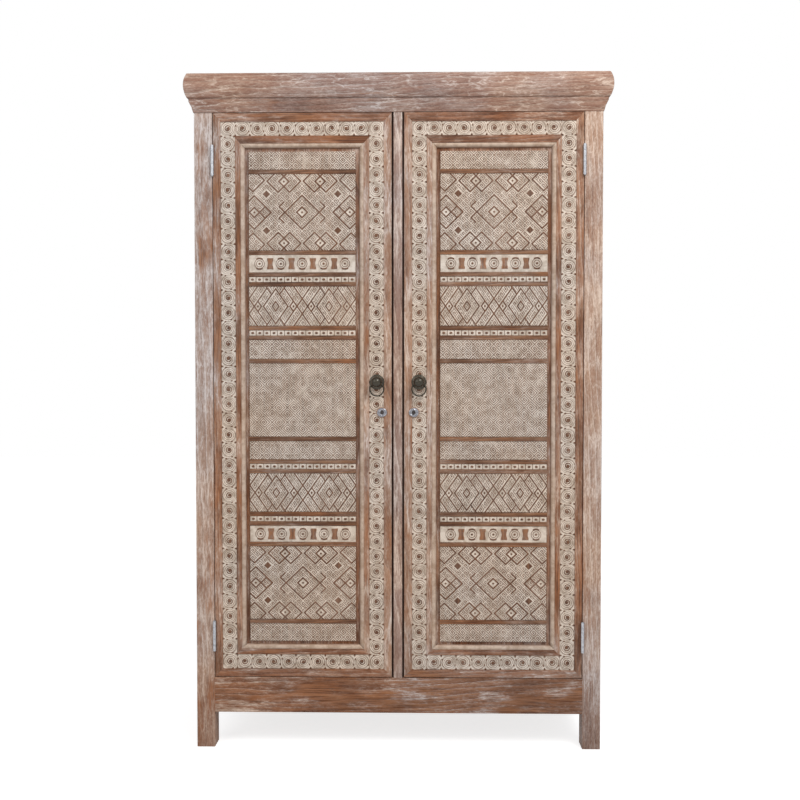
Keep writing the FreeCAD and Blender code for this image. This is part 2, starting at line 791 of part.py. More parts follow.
def hinge_pins(word, sign):
    levels = (("bottom", "hinge_bottom_z"), ("top", "hinge_top_z"))
    pins = [hinge_pin(f"hinge_pin_{word}_{level}", sign, centre) for level, centre in levels]
    return group("hinge_pins_" + word, pins)


def door_place(sign, z="door_bottom_z"):
    return (f"{sign} * door_centre_x", "face_y", z)


def opening_place(sign, z):
    # The panel opening lies a little nearer the hinges than the middle of the door.
    return (f"{sign} * (door_centre_x + opening_shift)", "face_y", z)


def door_edges(sign, side):
    # The outer and the inner edge of one upright, from the middle of the door. Side 1 has the hinges.
    wide = "hinge_stile_width" if side == 1 else "meeting_stile_width"
    away = sign * side
    return f"{away} * door_width / 2", f"{away} * (door_width / 2 - {wide})"


def door_stile(word, sign, kind):
    # An upright with mitred ends, from the outer to the inner corner of the frame.
    side = 1 if kind == "hinge" else -1
    away = sign * side
    outer, inner = door_edges(sign, side)
    body = new_body(f"door_{word}_{kind}_stile", door_place(sign))
    sketch = new_sketch(body, "front")
    add_loop(sketch, ((outer, "0"), (outer, "door_height"), (inner, "door_height - door_top_rail_height"),
                      (inner, "door_bottom_rail_height")))
    grow(body, sketch, "door_thickness")
    cut_panel_groove(body, sign)
    cut_mortises(body, away, inner)
    cut_border(body, sign)
    if kind == "hinge":
        cut_leaf_seats(body, -away, outer, "door_bottom_z")
    else:
        add_seats(body, sign)
    return body


def cut_panel_groove(body, sign):
    # The groove round the opening. Each piece of the frame takes its own stretch of it.
    hinge_end = f"{sign} * (door_width / 2 - hinge_stile_width + groove_depth)"
    meeting_end = f"-{sign} * (door_width / 2 - meeting_stile_width + groove_depth)"
    sketch = new_sketch(body, "front", "panel_setback")
    add_box(sketch, meeting_end, "door_bottom_rail_height - groove_depth", hinge_end,
            "door_height - door_top_rail_height + groove_depth")
    cut(body, sketch, "panel_tongue", 1, "panel_groove")


def cut_mortises(body, away, inner):
    deep = f"{inner} + {away} * door_tenon_length"
    sketch = new_sketch(body, "front", "panel_setback")
    add_box(sketch, inner, "tenon_shoulder", deep, "door_bottom_rail_height - groove_depth")
    add_box(sketch, inner, "door_height - door_top_rail_height + groove_depth", deep,
            "door_height - tenon_shoulder")
    cut(body, sketch, "panel_tongue", 1, "mortises")


def cut_border(body, sign):
    # The sunk ground of the carved border, a flat ring round the door.
    half = "border_band_width / 2"
    sketch = new_sketch(body, "front")
    for edge in (1, -1):
        hinge_end = f"{sign} * (door_width / 2 - border_hinge_inset + {edge} * {half})"
        meeting_end = f"-{sign} * (door_width / 2 - border_meeting_inset + {edge} * {half})"
        low = f"border_bottom_inset - {edge} * {half}"
        high = f"door_height - border_top_inset + {edge} * {half}"
        add_box(sketch, meeting_end, low, hinge_end, high)
    cut(body, sketch, "border_sink", 1, "border")


def add_seats(body, sign):
    # Flat seats left standing in the carved band for the knob plate and the lock, and their holes.
    knob_x = f"-{sign} * (door_width / 2 - knob_inset)"
    lock_x = f"-{sign} * (door_width / 2 - lock_inset)"
    sketch = new_sketch(body, "front", "border_sink + overrun")
    add_circle(sketch, knob_x, "knob_height", "knob_seat_radius")
    grow(body, sketch, "border_sink + overrun", -1, "knob_seat")
    sketch = new_sketch(body, "front", "border_sink + overrun")
    add_circle(sketch, lock_x, "lock_height", "lock_seat_radius")
    grow(body, sketch, "border_sink + overrun", -1, "lock_seat")
    sketch = new_sketch(body, "front")
    add_circle(sketch, lock_x, "lock_height", "lock_barrel_radius")
    cut(body, sketch, "door_thickness + overrun", 1, "lock_hole")
    sketch = new_sketch(body, "front")
    add_circle(sketch, knob_x, "knob_height", "spindle_radius")
    cut(body, sketch, "spindle_length", 1, "spindle_hole")


def door_rail(word, sign, level):
    # A rail with mitred ends. Its tenons lie in the middle of the thickness and pass behind the mitre.
    height = f"door_{level}_rail_height"
    outside, inside = ("0", height)
    shoulder, lip = ("tenon_shoulder", f"{height} - groove_depth")
    if level == "top":
        outside, inside = ("door_height", f"door_height - {height}")
        shoulder, lip = (f"door_height - {shoulder}", f"door_height - ({lip})")
    hinge_outer, hinge_inner = door_edges(sign, 1)
    meeting_outer, meeting_inner = door_edges(sign, -1)
    body = new_body(f"door_{word}_{level}_rail", door_place(sign))
    sketch = new_sketch(body, "front")
    add_loop(sketch, ((meeting_outer, outside), (hinge_outer, outside), (hinge_inner, inside),
                      (meeting_inner, inside)))
    grow(body, sketch, "door_thickness")
    cut_panel_groove(body, sign)
    cut_border(body, sign)
    reach = "(door_tenon_length - tenon_end_space)"
    sketch = new_sketch(body, "front", "panel_setback")
    add_box(sketch, f"{meeting_inner} - {sign} * {reach}", shoulder, f"{hinge_inner} + {sign} * {reach}", lip)
    grow(body, sketch, "panel_tongue", 1, "tenons")
    return body


# The carved field, from its lower edge to its middle. Each row is a band of ornament and its share
# of the height left between the plain bars.
band_kinds = ("fret", "star", "roundel", "pip", "lozenge", "pip", "fret", "centre",
              "fret", "pip", "lozenge", "pip", "roundel", "star", "fret")
band_shares = {"fret": 50.5, "star": 202, "roundel": 44.5, "pip": 16, "lozenge": 106, "centre": 198}
share_total = sum(band_shares[kind] for kind in band_kinds)
carved_height = f"(field_height - {len(band_kinds) - 1} * bar_height)"
field_base = "(bead_width + field_margin)"


def bands():
    # Each band with its lower and upper edge above the lower edge of the opening.
    found = []
    sunk = 0
    for index, kind in enumerate(band_kinds):
        low = f"({field_base} + {sunk / share_total:.6f} * {carved_height} + {index} * bar_height)"
        sunk = sunk + band_shares[kind]
        high = f"({field_base} + {sunk / share_total:.6f} * {carved_height} + {index} * bar_height)"
        found.append((kind, low, high))
    return found


def raised(body):
    # A sketch just under the floor of the carved bands.
    return new_sketch(body, "front", "field_recess + carving_sink + overrun")


def lift(body, sketch, name):
    # Stands a figure up from the floor of its band to the face of the field.
    return grow(body, sketch, "carving_sink + overrun", -1, name)


inner_width = "(field_width - 2 * field_side_bar)"


def row_places(count):
    # The first place of a row of equal steps across the band, and the step.
    step = f"({inner_width} / {count})"
    return f"(-{inner_width} / 2 + {step} / 2)", step


def add_roundels(body, low, high):
    middle = f"(({low} + {high}) / 2)"
    first, step = row_places("roundel_count")
    run = f"{step} * (roundel_count - 1)"
    sketch = raised(body)
    add_circle(sketch, first, middle, "roundel_radius")
    add_circle(sketch, first, middle, "roundel_radius - roundel_ring_width")
    ring = lift(body, sketch, "ring")
    repeat(body, ring, sketch, "H_Axis", run, "roundel_count", "rings")
    sketch = raised(body)
    add_circle(sketch, first, middle, "roundel_eye_radius")
    eye = lift(body, sketch, "eye")
    repeat(body, eye, sketch, "H_Axis", run, "roundel_count", "eyes")


def add_pips(body, low, high):
    middle = f"(({low} + {high}) / 2)"
    first, step = row_places("pip_count")
    sketch = raised(body)
    add_box(sketch, f"{first} - pip_side / 2", f"{middle} - pip_side / 2",
            f"{first} + pip_side / 2", f"{middle} + pip_side / 2")
    pip = lift(body, sketch, "pip")
    repeat(body, pip, sketch, "H_Axis", f"{step} * (pip_count - 1)", "pip_count", "pips")


def add_frets(body, low, high):
    middle = f"(({low} + {high}) / 2)"
    first, step = row_places("fret_count")
    sketch = raised(body)
    for share in (1, fret_hole_share):
        half = f"fret_half_width * {share}"
        add_diamond(sketch, first, middle, half, half)
    fret = lift(body, sketch, "fret")
    repeat(body, fret, sketch, "H_Axis", f"{step} * (fret_count - 1)", "fret_count", "frets")


def add_stars(body, low, high):
    # A large nested diamond in the middle and four solid ones nearer the corners.
    middle = f"(({low} + {high}) / 2)"
    sketch = raised(body)
    for share in (1, star_hole_share):
        add_diamond(sketch, "0", middle, f"star_half_width * {share}", f"star_half_width * {share}")
    for across in (-small_star_across_share, small_star_across_share):
        for up in (-small_star_up_share, small_star_up_share):
            add_diamond(sketch, f"({across} * field_width)", f"({middle} + {up} * ({high} - {low}))",
                        "small_star_half_width", "small_star_half_width")
    lift(body, sketch, "star")
    sketch = raised(body)
    half = f"star_half_width * {star_eye_share}"
    add_diamond(sketch, "0", middle, half, half)
    lift(body, sketch, "star_eye")


def add_lozenges(body, low, high):
    # Two tall nested lozenges, with a small one in each and one between them.
    middle = f"(({low} + {high}) / 2)"
    sketch = raised(body)
    for across in (-lozenge_across_share, lozenge_across_share):
        for share in (1, lozenge_hole_share):
            add_diamond(sketch, f"({across} * field_width)", middle,
                        f"lozenge_half_width * {share}", f"lozenge_half_height * {share}")
    lift(body, sketch, "lozenge")
    sketch = raised(body)
    for across in (-lozenge_across_share, 0, lozenge_across_share):
        add_diamond(sketch, f"({across} * field_width)", middle,
                    f"lozenge_half_width * {lozenge_eye_share}",
                    f"lozenge_half_height * {lozenge_eye_share}")
    lift(body, sketch, "lozenge_eye")


def spiral_grid(body, low, high, fewer, first_step):
    # Rows and columns of diamonds. The second grid sits in the gaps of the first.
    across = f"({inner_width} / spiral_column_count)"
    up = f"(({high} - {low}) / spiral_row_count)"
    sketch = raised(body)
    add_diamond(sketch, f"(-{inner_width} / 2 + {first_step} * {across})",
                f"({low} + {first_step} * {up})", "spiral_half_width", "spiral_half_width")
    spiral = lift(body, sketch, "spiral")
    doc.recompute()
    grid = body.newObject("PartDesign::MultiTransform", body.Label + "_grid")
    runs = (("H_Axis", across, "spiral_column_count"), ("V_Axis", up, "spiral_row_count"))
    patterns = []
    for axis, step, count in runs:
        pattern = body.newObject("PartDesign::LinearPattern", body.Label + "_run")
        pattern.Direction = (sketch, [axis])
        bind(pattern, "Length", f"{step} * ({count} - 1 - {fewer})")
        patterns.append((pattern, int(round(amount_of(count))) - fewer))
    grid.Originals = [spiral]
    grid.Transformations = [pattern for pattern, count in patterns]
    body.Tip = grid
    for pattern, count in patterns:
        pattern.Occurrences = count
    doc.recompute()


def add_spirals(body, low, high):
    # A close grid of diamonds, one for each of the carved square spirals.
    spiral_grid(body, low, high, 0, 0.5)
    spiral_grid(body, low, high, 1, 1)


fret_hole_share = 0.5
star_hole_share = 0.72
star_eye_share = 0.36
small_star_across_share = 0.33
small_star_up_share = 0.23
lozenge_across_share = 0.25
lozenge_hole_share = 0.74
lozenge_eye_share = 0.4

band_makers = {"fret": add_frets, "star": add_stars, "roundel": add_roundels,
               "pip": add_pips, "lozenge": add_lozenges, "centre": add_spirals}


def panel_plate(label, place):
    # A grooved-in plate with a raised field on its front, the bands of ornament sunk into the field.
    body = new_body(label, place)
    reach = "(groove_depth - groove_end_space)"
    sketch = new_sketch(body, "front", "panel_setback")
    add_box(sketch, f"-opening_width / 2 - {reach}", f"-{reach}", f"opening_width / 2 + {reach}",
            f"opening_height + {reach}")
    grow(body, sketch, "panel_tongue")
    sketch = new_sketch(body, "front", "panel_setback")
    add_box(sketch, "-field_width / 2", field_base, "field_width / 2", f"{field_base} + field_height")
    grow(body, sketch, "panel_setback - field_recess", -1, "field")
    sketch = new_sketch(body, "front", "field_recess")
    for kind, low, high in bands():
        add_box(sketch, f"-{inner_width} / 2", low, f"{inner_width} / 2", high)
    cut(body, sketch, "carving_sink", 1, "bands")
    return body


def door_panel(word, sign):
    # The plate and the raised figures of each band, carved from one board.
    label = f"door_{word}_panel"
    place = opening_place(sign, "door_bottom_z + door_bottom_rail_height")
    carved = [panel_plate(label + "_plate", place)]
    for index, (kind, low, high) in enumerate(bands()):
        figures = new_body(f"{label}_{kind}_{index + 1}", place)
        band_makers[kind](figures, low, high)
        carved.append(figures)
    panel = doc.addObject("Part::MultiFuse", label)
    panel.Label = label
    panel.Shapes = carved
    return panel


def add_nosed_outline(sketch, back, front, width):
    # A rectangle whose front edge is a half circle across the full width.
    half = f"{width} / 2"
    base, tip, wide = (amount_of(formula) for formula in (back, front, width))
    spring = f"({front} + {half})"
    level = amount_of(spring)
    corners = [FreeCAD.Vector(level, 0, 0), FreeCAD.Vector(base, 0, 0),
               FreeCAD.Vector(base, wide, 0), FreeCAD.Vector(level, wide, 0)]
    lines = [sketch.addGeometry(Part.LineSegment(*pair), False) for pair in zip(corners, corners[1:])]
    nose = Part.Arc(corners[3], FreeCAD.Vector(tip, wide / 2, 0), corners[0])
    arc = sketch.addGeometry(nose, False)
    for line, following in zip(lines, lines[1:]):
        sketch.addConstraint(Sketcher.Constraint("Coincident", line, 2, following, 1))
    flip = sketch.Geometry[arc].StartPoint.distanceToPoint(corners[0]) < wide / 2
    sketch.addConstraint(Sketcher.Constraint("Coincident", lines[2], 2, arc, 2 if flip else 1))
    sketch.addConstraint(Sketcher.Constraint("Coincident", lines[0], 1, arc, 1 if flip else 2))
    for line, end, across, up in ((lines[0], 1, spring, "0"), (lines[0], 2, back, "0"),
                                  (lines[1], 2, back, width), (lines[2], 2, spring, width)):
        hold(sketch, "DistanceX", line, end, across)
        hold(sketch, "DistanceY", line, end, up)
    hold(sketch, "DistanceX", arc, 3, spring)


def bead_strip(word, sign, label, run, turns, place):
    # Half-round moulding on a thin base, mitred at both ends. It lies in the corner of the opening.
    body = new_body(f"door_{word}_bead_{label}", place)
    upright = FreeCAD.Vector(0, 1, 0)
    turned = FreeCAD.Rotation(upright, turns * 90)
    body.Placement = FreeCAD.Placement(body.Placement.Base, turned)
    set_place(body, place)
    sketch = new_sketch(body, "side")
    add_nosed_outline(sketch, "panel_setback", "(panel_setback - bead_depth)", "bead_width")
    grow(body, sketch, run, 0)
    for end in (-1, 1):
        cut_mitre(body, "front", end, f"{end} * {run} / 2", -end, "bead_width", 1,
                  "panel_setback + 2 * overrun", "-overrun")
    return body


def door_bead(word, sign):
    low = "door_bottom_z + door_bottom_rail_height"
    centre = f"{sign} * (door_centre_x + opening_shift)"
    half = "opening_width / 2"
    strips = (("bottom", "opening_width", 0, (centre, "face_y", low)),
              ("top", "opening_width", 2, (centre, "face_y", f"{low} + opening_height")),
              ("left", "opening_height", 1, (f"{centre} - {half}", "face_y", f"{low} + opening_height / 2")),
              ("right", "opening_height", 3, (f"{centre} + {half}", "face_y", f"{low} + opening_height / 2")))
    return group(f"door_{word}_bead", [bead_strip(word, sign, *strip) for strip in strips])


def knob_place(sign):
    return (f"{sign} * knob_x", "face_y", "knob_z")


def knob_rose(word, sign):
    # The round plate behind the knob, slightly domed.
    body = new_body(f"knob_{word}_rose", knob_place(sign))
    sketch = new_sketch(body, "top")
    corners = (("spindle_radius", "0"), ("rose_radius", "0"), ("rose_radius", "-rose_edge_thickness"),
               ("(rose_radius + rose_crown_radius) / 2", "-rose_thickness * rose_shoulder_share"),
               ("rose_crown_radius", "-rose_thickness"), ("spindle_radius", "-rose_thickness"))
    add_loop(sketch, corners)
    turn(body, sketch)
    return body


def knob(word, sign):
    # Spindle, neck with a cross hole for the ring, and ball.
    body = new_body(f"knob_{word}", knob_place(sign))
    centre = "(ring_hole_reach + ball_offset)"
    sketch = new_sketch(body, "top")
    corners = (("0", "spindle_length"), ("spindle_radius", "spindle_length"),
               ("spindle_radius", "-rose_thickness"), ("neck_radius", "-rose_thickness"),
               ("neck_radius", f"-{centre}"), ("0", f"-{centre}"))
    add_loop(sketch, corners)
    turn(body, sketch, "neck")
    sketch = new_sketch(body, "top")
    middle = FreeCAD.Vector(0, -amount_of(centre), 0)
    round_edge = Part.Circle(middle, FreeCAD.Vector(0, 0, 1), amount_of("ball_radius"))
    arc = sketch.addGeometry(Part.ArcOfCircle(round_edge, -math.pi / 2, math.pi / 2), False)
    reach = FreeCAD.Vector(0, amount_of("ball_radius"), 0)
    line = sketch.addGeometry(Part.LineSegment(middle + reach, middle - reach), False)
    sketch.addConstraint(Sketcher.Constraint("Coincident", arc, 2, line, 1))
    sketch.addConstraint(Sketcher.Constraint("Coincident", arc, 1, line, 2))
    sketch.addConstraint(Sketcher.Constraint("PointOnObject", line, 1, -2))
    sketch.addConstraint(Sketcher.Constraint("PointOnObject", arc, 3, -2))
    hold(sketch, "DistanceY", arc, 3, f"-{centre}")
    index = sketch.addConstraint(Sketcher.Constraint("Radius", arc, amount_of("ball_radius")))
    bind(sketch, f"Constraints[{index}]", "ball_radius")
    sketch.addConstraint(Sketcher.Constraint("PointOnObject", line, 2, -2))
    turn(body, sketch, "ball")
    sketch = new_sketch(body, "side")
    add_circle(sketch, "-ring_hole_reach", "0", "ring_hole_radius")
    cut(body, sketch, "2 * neck_radius + overrun", 0, "ring_hole")
    return body


def pull_ring(word, sign):
    ring = doc.addObject("Part::Torus", f"ring_{word}")
    ring.Label = f"ring_{word}"
    bind(ring, "Radius1", "ring_radius")
    bind(ring, "Radius2", "ring_wire_radius")
    ring.Placement = FreeCAD.Placement(FreeCAD.Vector(), FreeCAD.Rotation(FreeCAD.Vector(1, 0, 0), 90))
    set_place(ring, (f"{sign} * knob_x", "face_y - ring_hole_reach", "knob_z - ring_radius"))
    return ring


def lock_place(sign):
    return (f"{sign} * lock_x", "face_y", "lock_z")


def lock_case(word, sign):
    # Round barrel with a flange on the front of the door and a flat case on its back.
    body = new_body(f"lock_{word}_case", lock_place(sign))
    inner = f"-{sign} * (lock_inset - lock_case_edge_inset)"
    outer = f"{sign} * (lock_case_width - lock_inset + lock_case_edge_inset)"
    tall = "lock_case_height / 2"
    sketch = new_sketch(body, "front", "door_thickness")
    add_box(sketch, inner, f"-{tall}", outer, tall)
    grow(body, sketch, "lock_case_depth")
    sketch = new_sketch(body, "front", "door_thickness + overrun / 5")
    add_circle(sketch, "0", "0", "lock_barrel_radius")
    grow(body, sketch, "door_thickness + overrun / 5", -1, "barrel")
    sketch = new_sketch(body, "front")
    add_circle(sketch, "0", "0", "lock_flange_radius")
    grow(body, sketch, "lock_flange_thickness", -1, "flange")
    sketch = new_sketch(body, "front", "-lock_flange_thickness")
    add_circle(sketch, "0", "0", "lock_bore_radius")
    cut(body, sketch, "lock_flange_thickness + door_thickness + lock_case_face + bolt_space", 1, "bore")
    sketch = new_sketch(body, "front", "door_thickness + lock_case_face")
    add_circle(sketch, "0", "0", "cam_disc_radius + bolt_space")
    cut(body, sketch, "cam_disc_thickness + 2 * bolt_space", -1, "cam_room")
    sketch = new_sketch(body, "side", inner)
    half = "(bolt_height / 2 + bolt_space)"
    add_box(sketch, "bolt_y - bolt_space", f"-{half}", "bolt_y + bolt_thickness + bolt_space", half)
    cut(body, sketch, "lock_inset - lock_case_edge_inset + bolt_tail + bolt_space", sign, "bolt_way")
    return body


def lock_plug(word, sign):
    # The turning core: a keyhole at the front, and at the back a disc whose pin works the bolt.
    body = new_body(f"lock_{word}_plug", lock_place(sign))
    front = "(lock_flange_thickness - plug_recess)"
    back = "(door_thickness + lock_case_face - bolt_space)"
    sketch = new_sketch(body, "front", f"-{front}")
    add_circle(sketch, "0", "0", "plug_radius")
    grow(body, sketch, f"{front} + {back}")
    sketch = new_sketch(body, "front", back)
    add_circle(sketch, "0", "0", "cam_disc_radius")
    grow(body, sketch, "cam_disc_thickness", -1, "cam_disc")
    sketch = new_sketch(body, "front", back)
    add_circle(sketch, f"{sign} * cam_offset", "cam_offset", "cam_pin_radius")
    grow(body, sketch, "bolt_thickness + 2 * bolt_space", 1, "cam_pin")
    sketch = new_sketch(body, "front", f"-{front}")
    add_box(sketch, "-keyhole_width / 2", "-keyhole_height / 2", "keyhole_width / 2", "keyhole_height / 2")
    cut(body, sketch, "keyhole_depth", 1, "keyhole")
    return body


def lock_bolt(word, sign):
    # A flat bar with an upright slot for the cam pin.
    body = new_body(f"lock_{word}_bolt", lock_place(sign))
    nose = f"-{sign} * (lock_inset - lock_case_edge_inset - bolt_recess)"
    tall = "bolt_height / 2"
    sketch = new_sketch(body, "front", "bolt_y")
    add_box(sketch, nose, f"-{tall}", f"{sign} * bolt_tail", tall)
    grow(body, sketch, "bolt_thickness")
    reach = "(cam_pin_radius + cam_pin_space)"
    sketch = new_sketch(body, "front", "bolt_y")
    add_box(sketch, f"{sign} * cam_offset - {reach}", f"cam_offset - {reach}",
            f"{sign} * cam_offset + {reach}", f"cam_radius + {reach}")
    cut(body, sketch, "bolt_thickness + overrun", 1, "slot")
    return body


def build_case():
    for word, sign in sides:
        nodes.append(front_post(word, sign))
        nodes.append(back_post(word, sign))
        nodes.append(side_rail(word, sign, "bottom"))
        nodes.append(side_rail(word, sign, "top"))
        nodes.append(side_panel(word, sign))
        nodes.append(cornice_side(word, sign))
        nodes.append(hinge_leaves("case_hinge_leaves_" + word, sign, 1))
        nodes.append(hinge_pins(word, sign))
    nodes.extend((apron(), front_top_rail(), back_rail("bottom"), back_rail("top"), back_boards()))
    nodes.extend((bottom_board(), bottom_cleats(), top_board(), cornice_front(), centre_mullion()))
    nodes.extend((shelf(), shelf_cleats(), hanging_rail(), rail_sockets(), door_stops()))


def build_door(word, sign):
    for kind in ("hinge", "meeting"):
        nodes.append(door_stile(word, sign, kind))
    for level in ("bottom", "top"):
        nodes.append(door_rail(word, sign, level))
    nodes.extend((door_panel(word, sign), door_bead(word, sign)))
    nodes.append(hinge_leaves("door_hinge_leaves_" + word, sign, -1))
    nodes.extend((knob_rose(word, sign), knob(word, sign), pull_ring(word, sign)))
    nodes.extend((lock_case(word, sign), lock_plug(word, sign), lock_bolt(word, sign)))


build_case()
for word, sign in sides:
    build_door(word, sign)
doc.recompute()

for item in doc.Objects:
    if "Invalid" in item.State or "Error" in item.State:
        raise ValueError(item.Label + " is not sound")
os.makedirs("parts", exist_ok=True)
for item in nodes:
    shape = item.Shape
    if shape.isNull() or not shape.isValid():
        raise ValueError(item.Label + " has no valid shape")
    shape.exportStep("parts/" + item.Label + ".step")
print(len(nodes), "sub-parts written")
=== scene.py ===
import json
import math

import bmesh
import bpy
import numpy as np
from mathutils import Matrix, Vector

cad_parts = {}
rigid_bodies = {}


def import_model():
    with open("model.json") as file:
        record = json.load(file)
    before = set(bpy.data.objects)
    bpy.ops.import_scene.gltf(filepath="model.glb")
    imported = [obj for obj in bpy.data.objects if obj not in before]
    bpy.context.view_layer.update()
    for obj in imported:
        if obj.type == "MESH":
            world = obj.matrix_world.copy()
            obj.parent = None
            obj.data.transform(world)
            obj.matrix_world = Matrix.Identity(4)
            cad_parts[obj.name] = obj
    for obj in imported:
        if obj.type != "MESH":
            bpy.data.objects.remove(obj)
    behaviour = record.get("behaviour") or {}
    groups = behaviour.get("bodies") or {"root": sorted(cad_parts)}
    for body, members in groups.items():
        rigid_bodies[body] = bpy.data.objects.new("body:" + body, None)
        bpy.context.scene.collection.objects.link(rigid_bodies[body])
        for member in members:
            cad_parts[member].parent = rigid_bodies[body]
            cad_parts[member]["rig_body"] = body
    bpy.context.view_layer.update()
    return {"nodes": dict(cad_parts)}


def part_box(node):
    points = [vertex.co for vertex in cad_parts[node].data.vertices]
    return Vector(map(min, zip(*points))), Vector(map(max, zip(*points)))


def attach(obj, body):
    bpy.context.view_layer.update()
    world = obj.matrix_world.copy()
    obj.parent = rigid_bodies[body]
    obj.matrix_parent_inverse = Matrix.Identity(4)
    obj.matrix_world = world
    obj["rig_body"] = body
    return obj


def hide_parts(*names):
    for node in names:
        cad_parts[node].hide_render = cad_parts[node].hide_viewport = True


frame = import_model()
nodes = frame["nodes"]
print("frame loaded:", len(nodes), "nodes")

mm = 0.001


def linkMesh(name, points, faces, smooth=True):
    # A mesh object whose place is in its vertices.
    mesh = bpy.data.meshes.new(name)
    mesh.from_pydata(points.tolist(), [], faces)
    mesh.polygons.foreach_set("use_smooth", np.full(len(mesh.polygons), smooth))
    mesh.update()
    piece = bpy.data.objects.new(name, mesh)
    bpy.context.scene.collection.objects.link(piece)
    return piece


def finishPiece(piece, body, material, stands=()):
    # Gives a piece its material and body, and hides the nodes of the frame that it stands for.
    piece.data.materials.clear()
    piece.data.materials.append(material)
    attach(piece, body)
    if stands:
        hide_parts(*stands)
    return piece


# Shader helpers

def put(tree, kind, values=(), **settings):
    # One shader node. A socket among the values is linked, anything else is set on the input.
    node = tree.nodes.new("ShaderNode" + kind)
    for key, value in settings.items():
        setattr(node, key, value)
    for key, value in dict(values).items():
        if isinstance(value, bpy.types.NodeSocket):
            tree.links.new(value, node.inputs[key])
        else:
            node.inputs[key].default_value = value
    return node


def rampOf(tree, factor, stops):
    # A colour ramp with a stop for each pair of place and grey or colour.
    node = put(tree, "ValToRGB", {"Fac": factor})
    elements = node.color_ramp.elements
    while len(elements) < len(stops):
        elements.new(0.5)
    for element, (place, shade) in zip(elements, stops):
        element.position = place
        element.color = (*shade, 1) if isinstance(shade, tuple) else (shade, shade, shade, 1)
    return node.outputs["Color"]


def mixOf(tree, factor, first, second, blend="MIX"):
    # The second colour over the first by the factor. Either may be a plain colour.
    first, second = [(*c, 1) if isinstance(c, tuple) else c for c in (first, second)]
    node = put(tree, "Mix", {0: factor, 6: first, 7: second}, data_type="RGBA", blend_type=blend)
    return node.outputs[2]


def calc(tree, operation, first, second=0.0):
    # One step of arithmetic on sockets or numbers.
    return put(tree, "Math", {0: first, 1: second}, operation=operation).outputs[0]


def noiseOf(tree, vector, scale, detail=3.0, rough=0.55):
    # Fractal noise from 0 to 1, scale to the metre.
    node = put(tree, "TexNoise", {"Vector": vector, "Scale": scale, "Detail": detail, "Roughness": rough})
    return node.outputs["Fac"]


# Wood

# Browns of each kind of board from its darkest vein to its palest, how much lime was left on it, how thick
# its even veil is and how strong its blotches, the noise level above which lime lies in patches and the
# one above which the wood is rubbed bare, how dark its deep brown patches are, and how many growth rings
# cross a metre.
woodKinds = {
    "post": {"dark": (0.13, 0.05, 0.024), "mid": (0.29, 0.145, 0.088), "light": (0.42, 0.26, 0.18),
             "lime": 0.5, "veil": 0.27, "blotch": 0.68, "patchy": 0.45,
             "rubbedAndShaded": 0.58, "deep": 0.15, "figure": 0.35, "rings": 22},
    "apron": {"dark": (0.09, 0.027, 0.009), "mid": (0.225, 0.083, 0.033), "light": (0.37, 0.17, 0.085),
              "lime": 0.45, "veil": 0.05, "blotch": 1.15, "patchy": 0.51,
              "rubbedAndShaded": 0.5, "deep": 0.45, "figure": 0.3, "rings": 26},
    "cornice": {"dark": (0.11, 0.043, 0.028), "mid": (0.235, 0.108, 0.076), "light": (0.36, 0.2, 0.15),
                "lime": 0.39, "veil": 0.2, "blotch": 0.65, "patchy": 0.47,
                "rubbedAndShaded": 0.6, "deep": 0.15, "figure": 0.75, "rings": 24},
    "mullion": {"dark": (0.15, 0.078, 0.06), "mid": (0.26, 0.155, 0.127), "light": (0.37, 0.26, 0.23),
                "lime": 0.45, "veil": 0.15, "blotch": 1.0, "patchy": 0.47,
                "rubbedAndShaded": 0.68, "deep": 0.2, "figure": 0.25, "rings": 30},
    "door": {"dark": (0.11, 0.036, 0.014), "mid": (0.28, 0.118, 0.055), "light": (0.43, 0.235, 0.14),
             "lime": 0.4, "veil": 0.09, "blotch": 1.1, "patchy": 0.5,
             "rubbedAndShaded": 0.53, "deep": 0.75, "figure": 0.3, "rings": 28},
    "meeting": {"dark": (0.12, 0.045, 0.02), "mid": (0.29, 0.135, 0.068), "light": (0.43, 0.25, 0.16),
                "lime": 0.42, "veil": 0.18, "blotch": 1.1, "patchy": 0.48,
                "rubbedAndShaded": 0.56, "deep": 0.3, "figure": 0.3, "rings": 28},
    "rail": {"dark": (0.085, 0.024, 0.008), "mid": (0.23, 0.088, 0.037), "light": (0.38, 0.18, 0.1),
             "lime": 0.38, "veil": 0.06, "blotch": 1.15, "patchy": 0.51,
             "rubbedAndShaded": 0.51, "deep": 0.8, "figure": 0.3, "rings": 28},
    "bead": {"dark": (0.13, 0.048, 0.02), "mid": (0.25, 0.112, 0.055), "light": (0.37, 0.2, 0.12),
             "lime": 0.36, "veil": 0.12, "blotch": 1.0, "patchy": 0.48,
             "rubbedAndShaded": 0.62, "deep": 0.0, "figure": 0.1, "rings": 40,
             "ground": ((0.44, 0.315, 0.23), (0.62, 0.49, 0.39))},
    "bar": {"dark": (0.08, 0.028, 0.009), "mid": (0.165, 0.066, 0.025), "light": (0.29, 0.14, 0.065),
            "lime": 0.23, "veil": 0.06, "blotch": 1.2, "patchy": 0.52,
            "rubbedAndShaded": 0.54, "deep": 0.7, "figure": 0.1, "rings": 30},
    "carving": {"dark": (0.055, 0.019, 0.008), "mid": (0.115, 0.043, 0.018), "light": (0.2, 0.09, 0.043),
                "lime": 0.08, "veil": 0.03, "blotch": 1.0, "patchy": 0.5,
                "rubbedAndShaded": 0.8, "deep": 0.0, "figure": 0.0, "rings": 30,
                "ground": ((0.53, 0.44, 0.355), (0.78, 0.68, 0.58))},
    "inside": {"dark": (0.2, 0.1, 0.055), "mid": (0.34, 0.19, 0.115), "light": (0.46, 0.29, 0.19),
               "lime": 0.25, "veil": 0.08, "blotch": 1.0, "patchy": 0.5,
               "rubbedAndShaded": 0.7, "deep": 0.2, "figure": 0.2, "rings": 24},
}
limeColor = {"thin": (0.45, 0.31, 0.235), "full": (0.74, 0.64, 0.57)}
bareColor = {"dark": (0.13, 0.042, 0.014), "light": (0.38, 0.165, 0.072)}
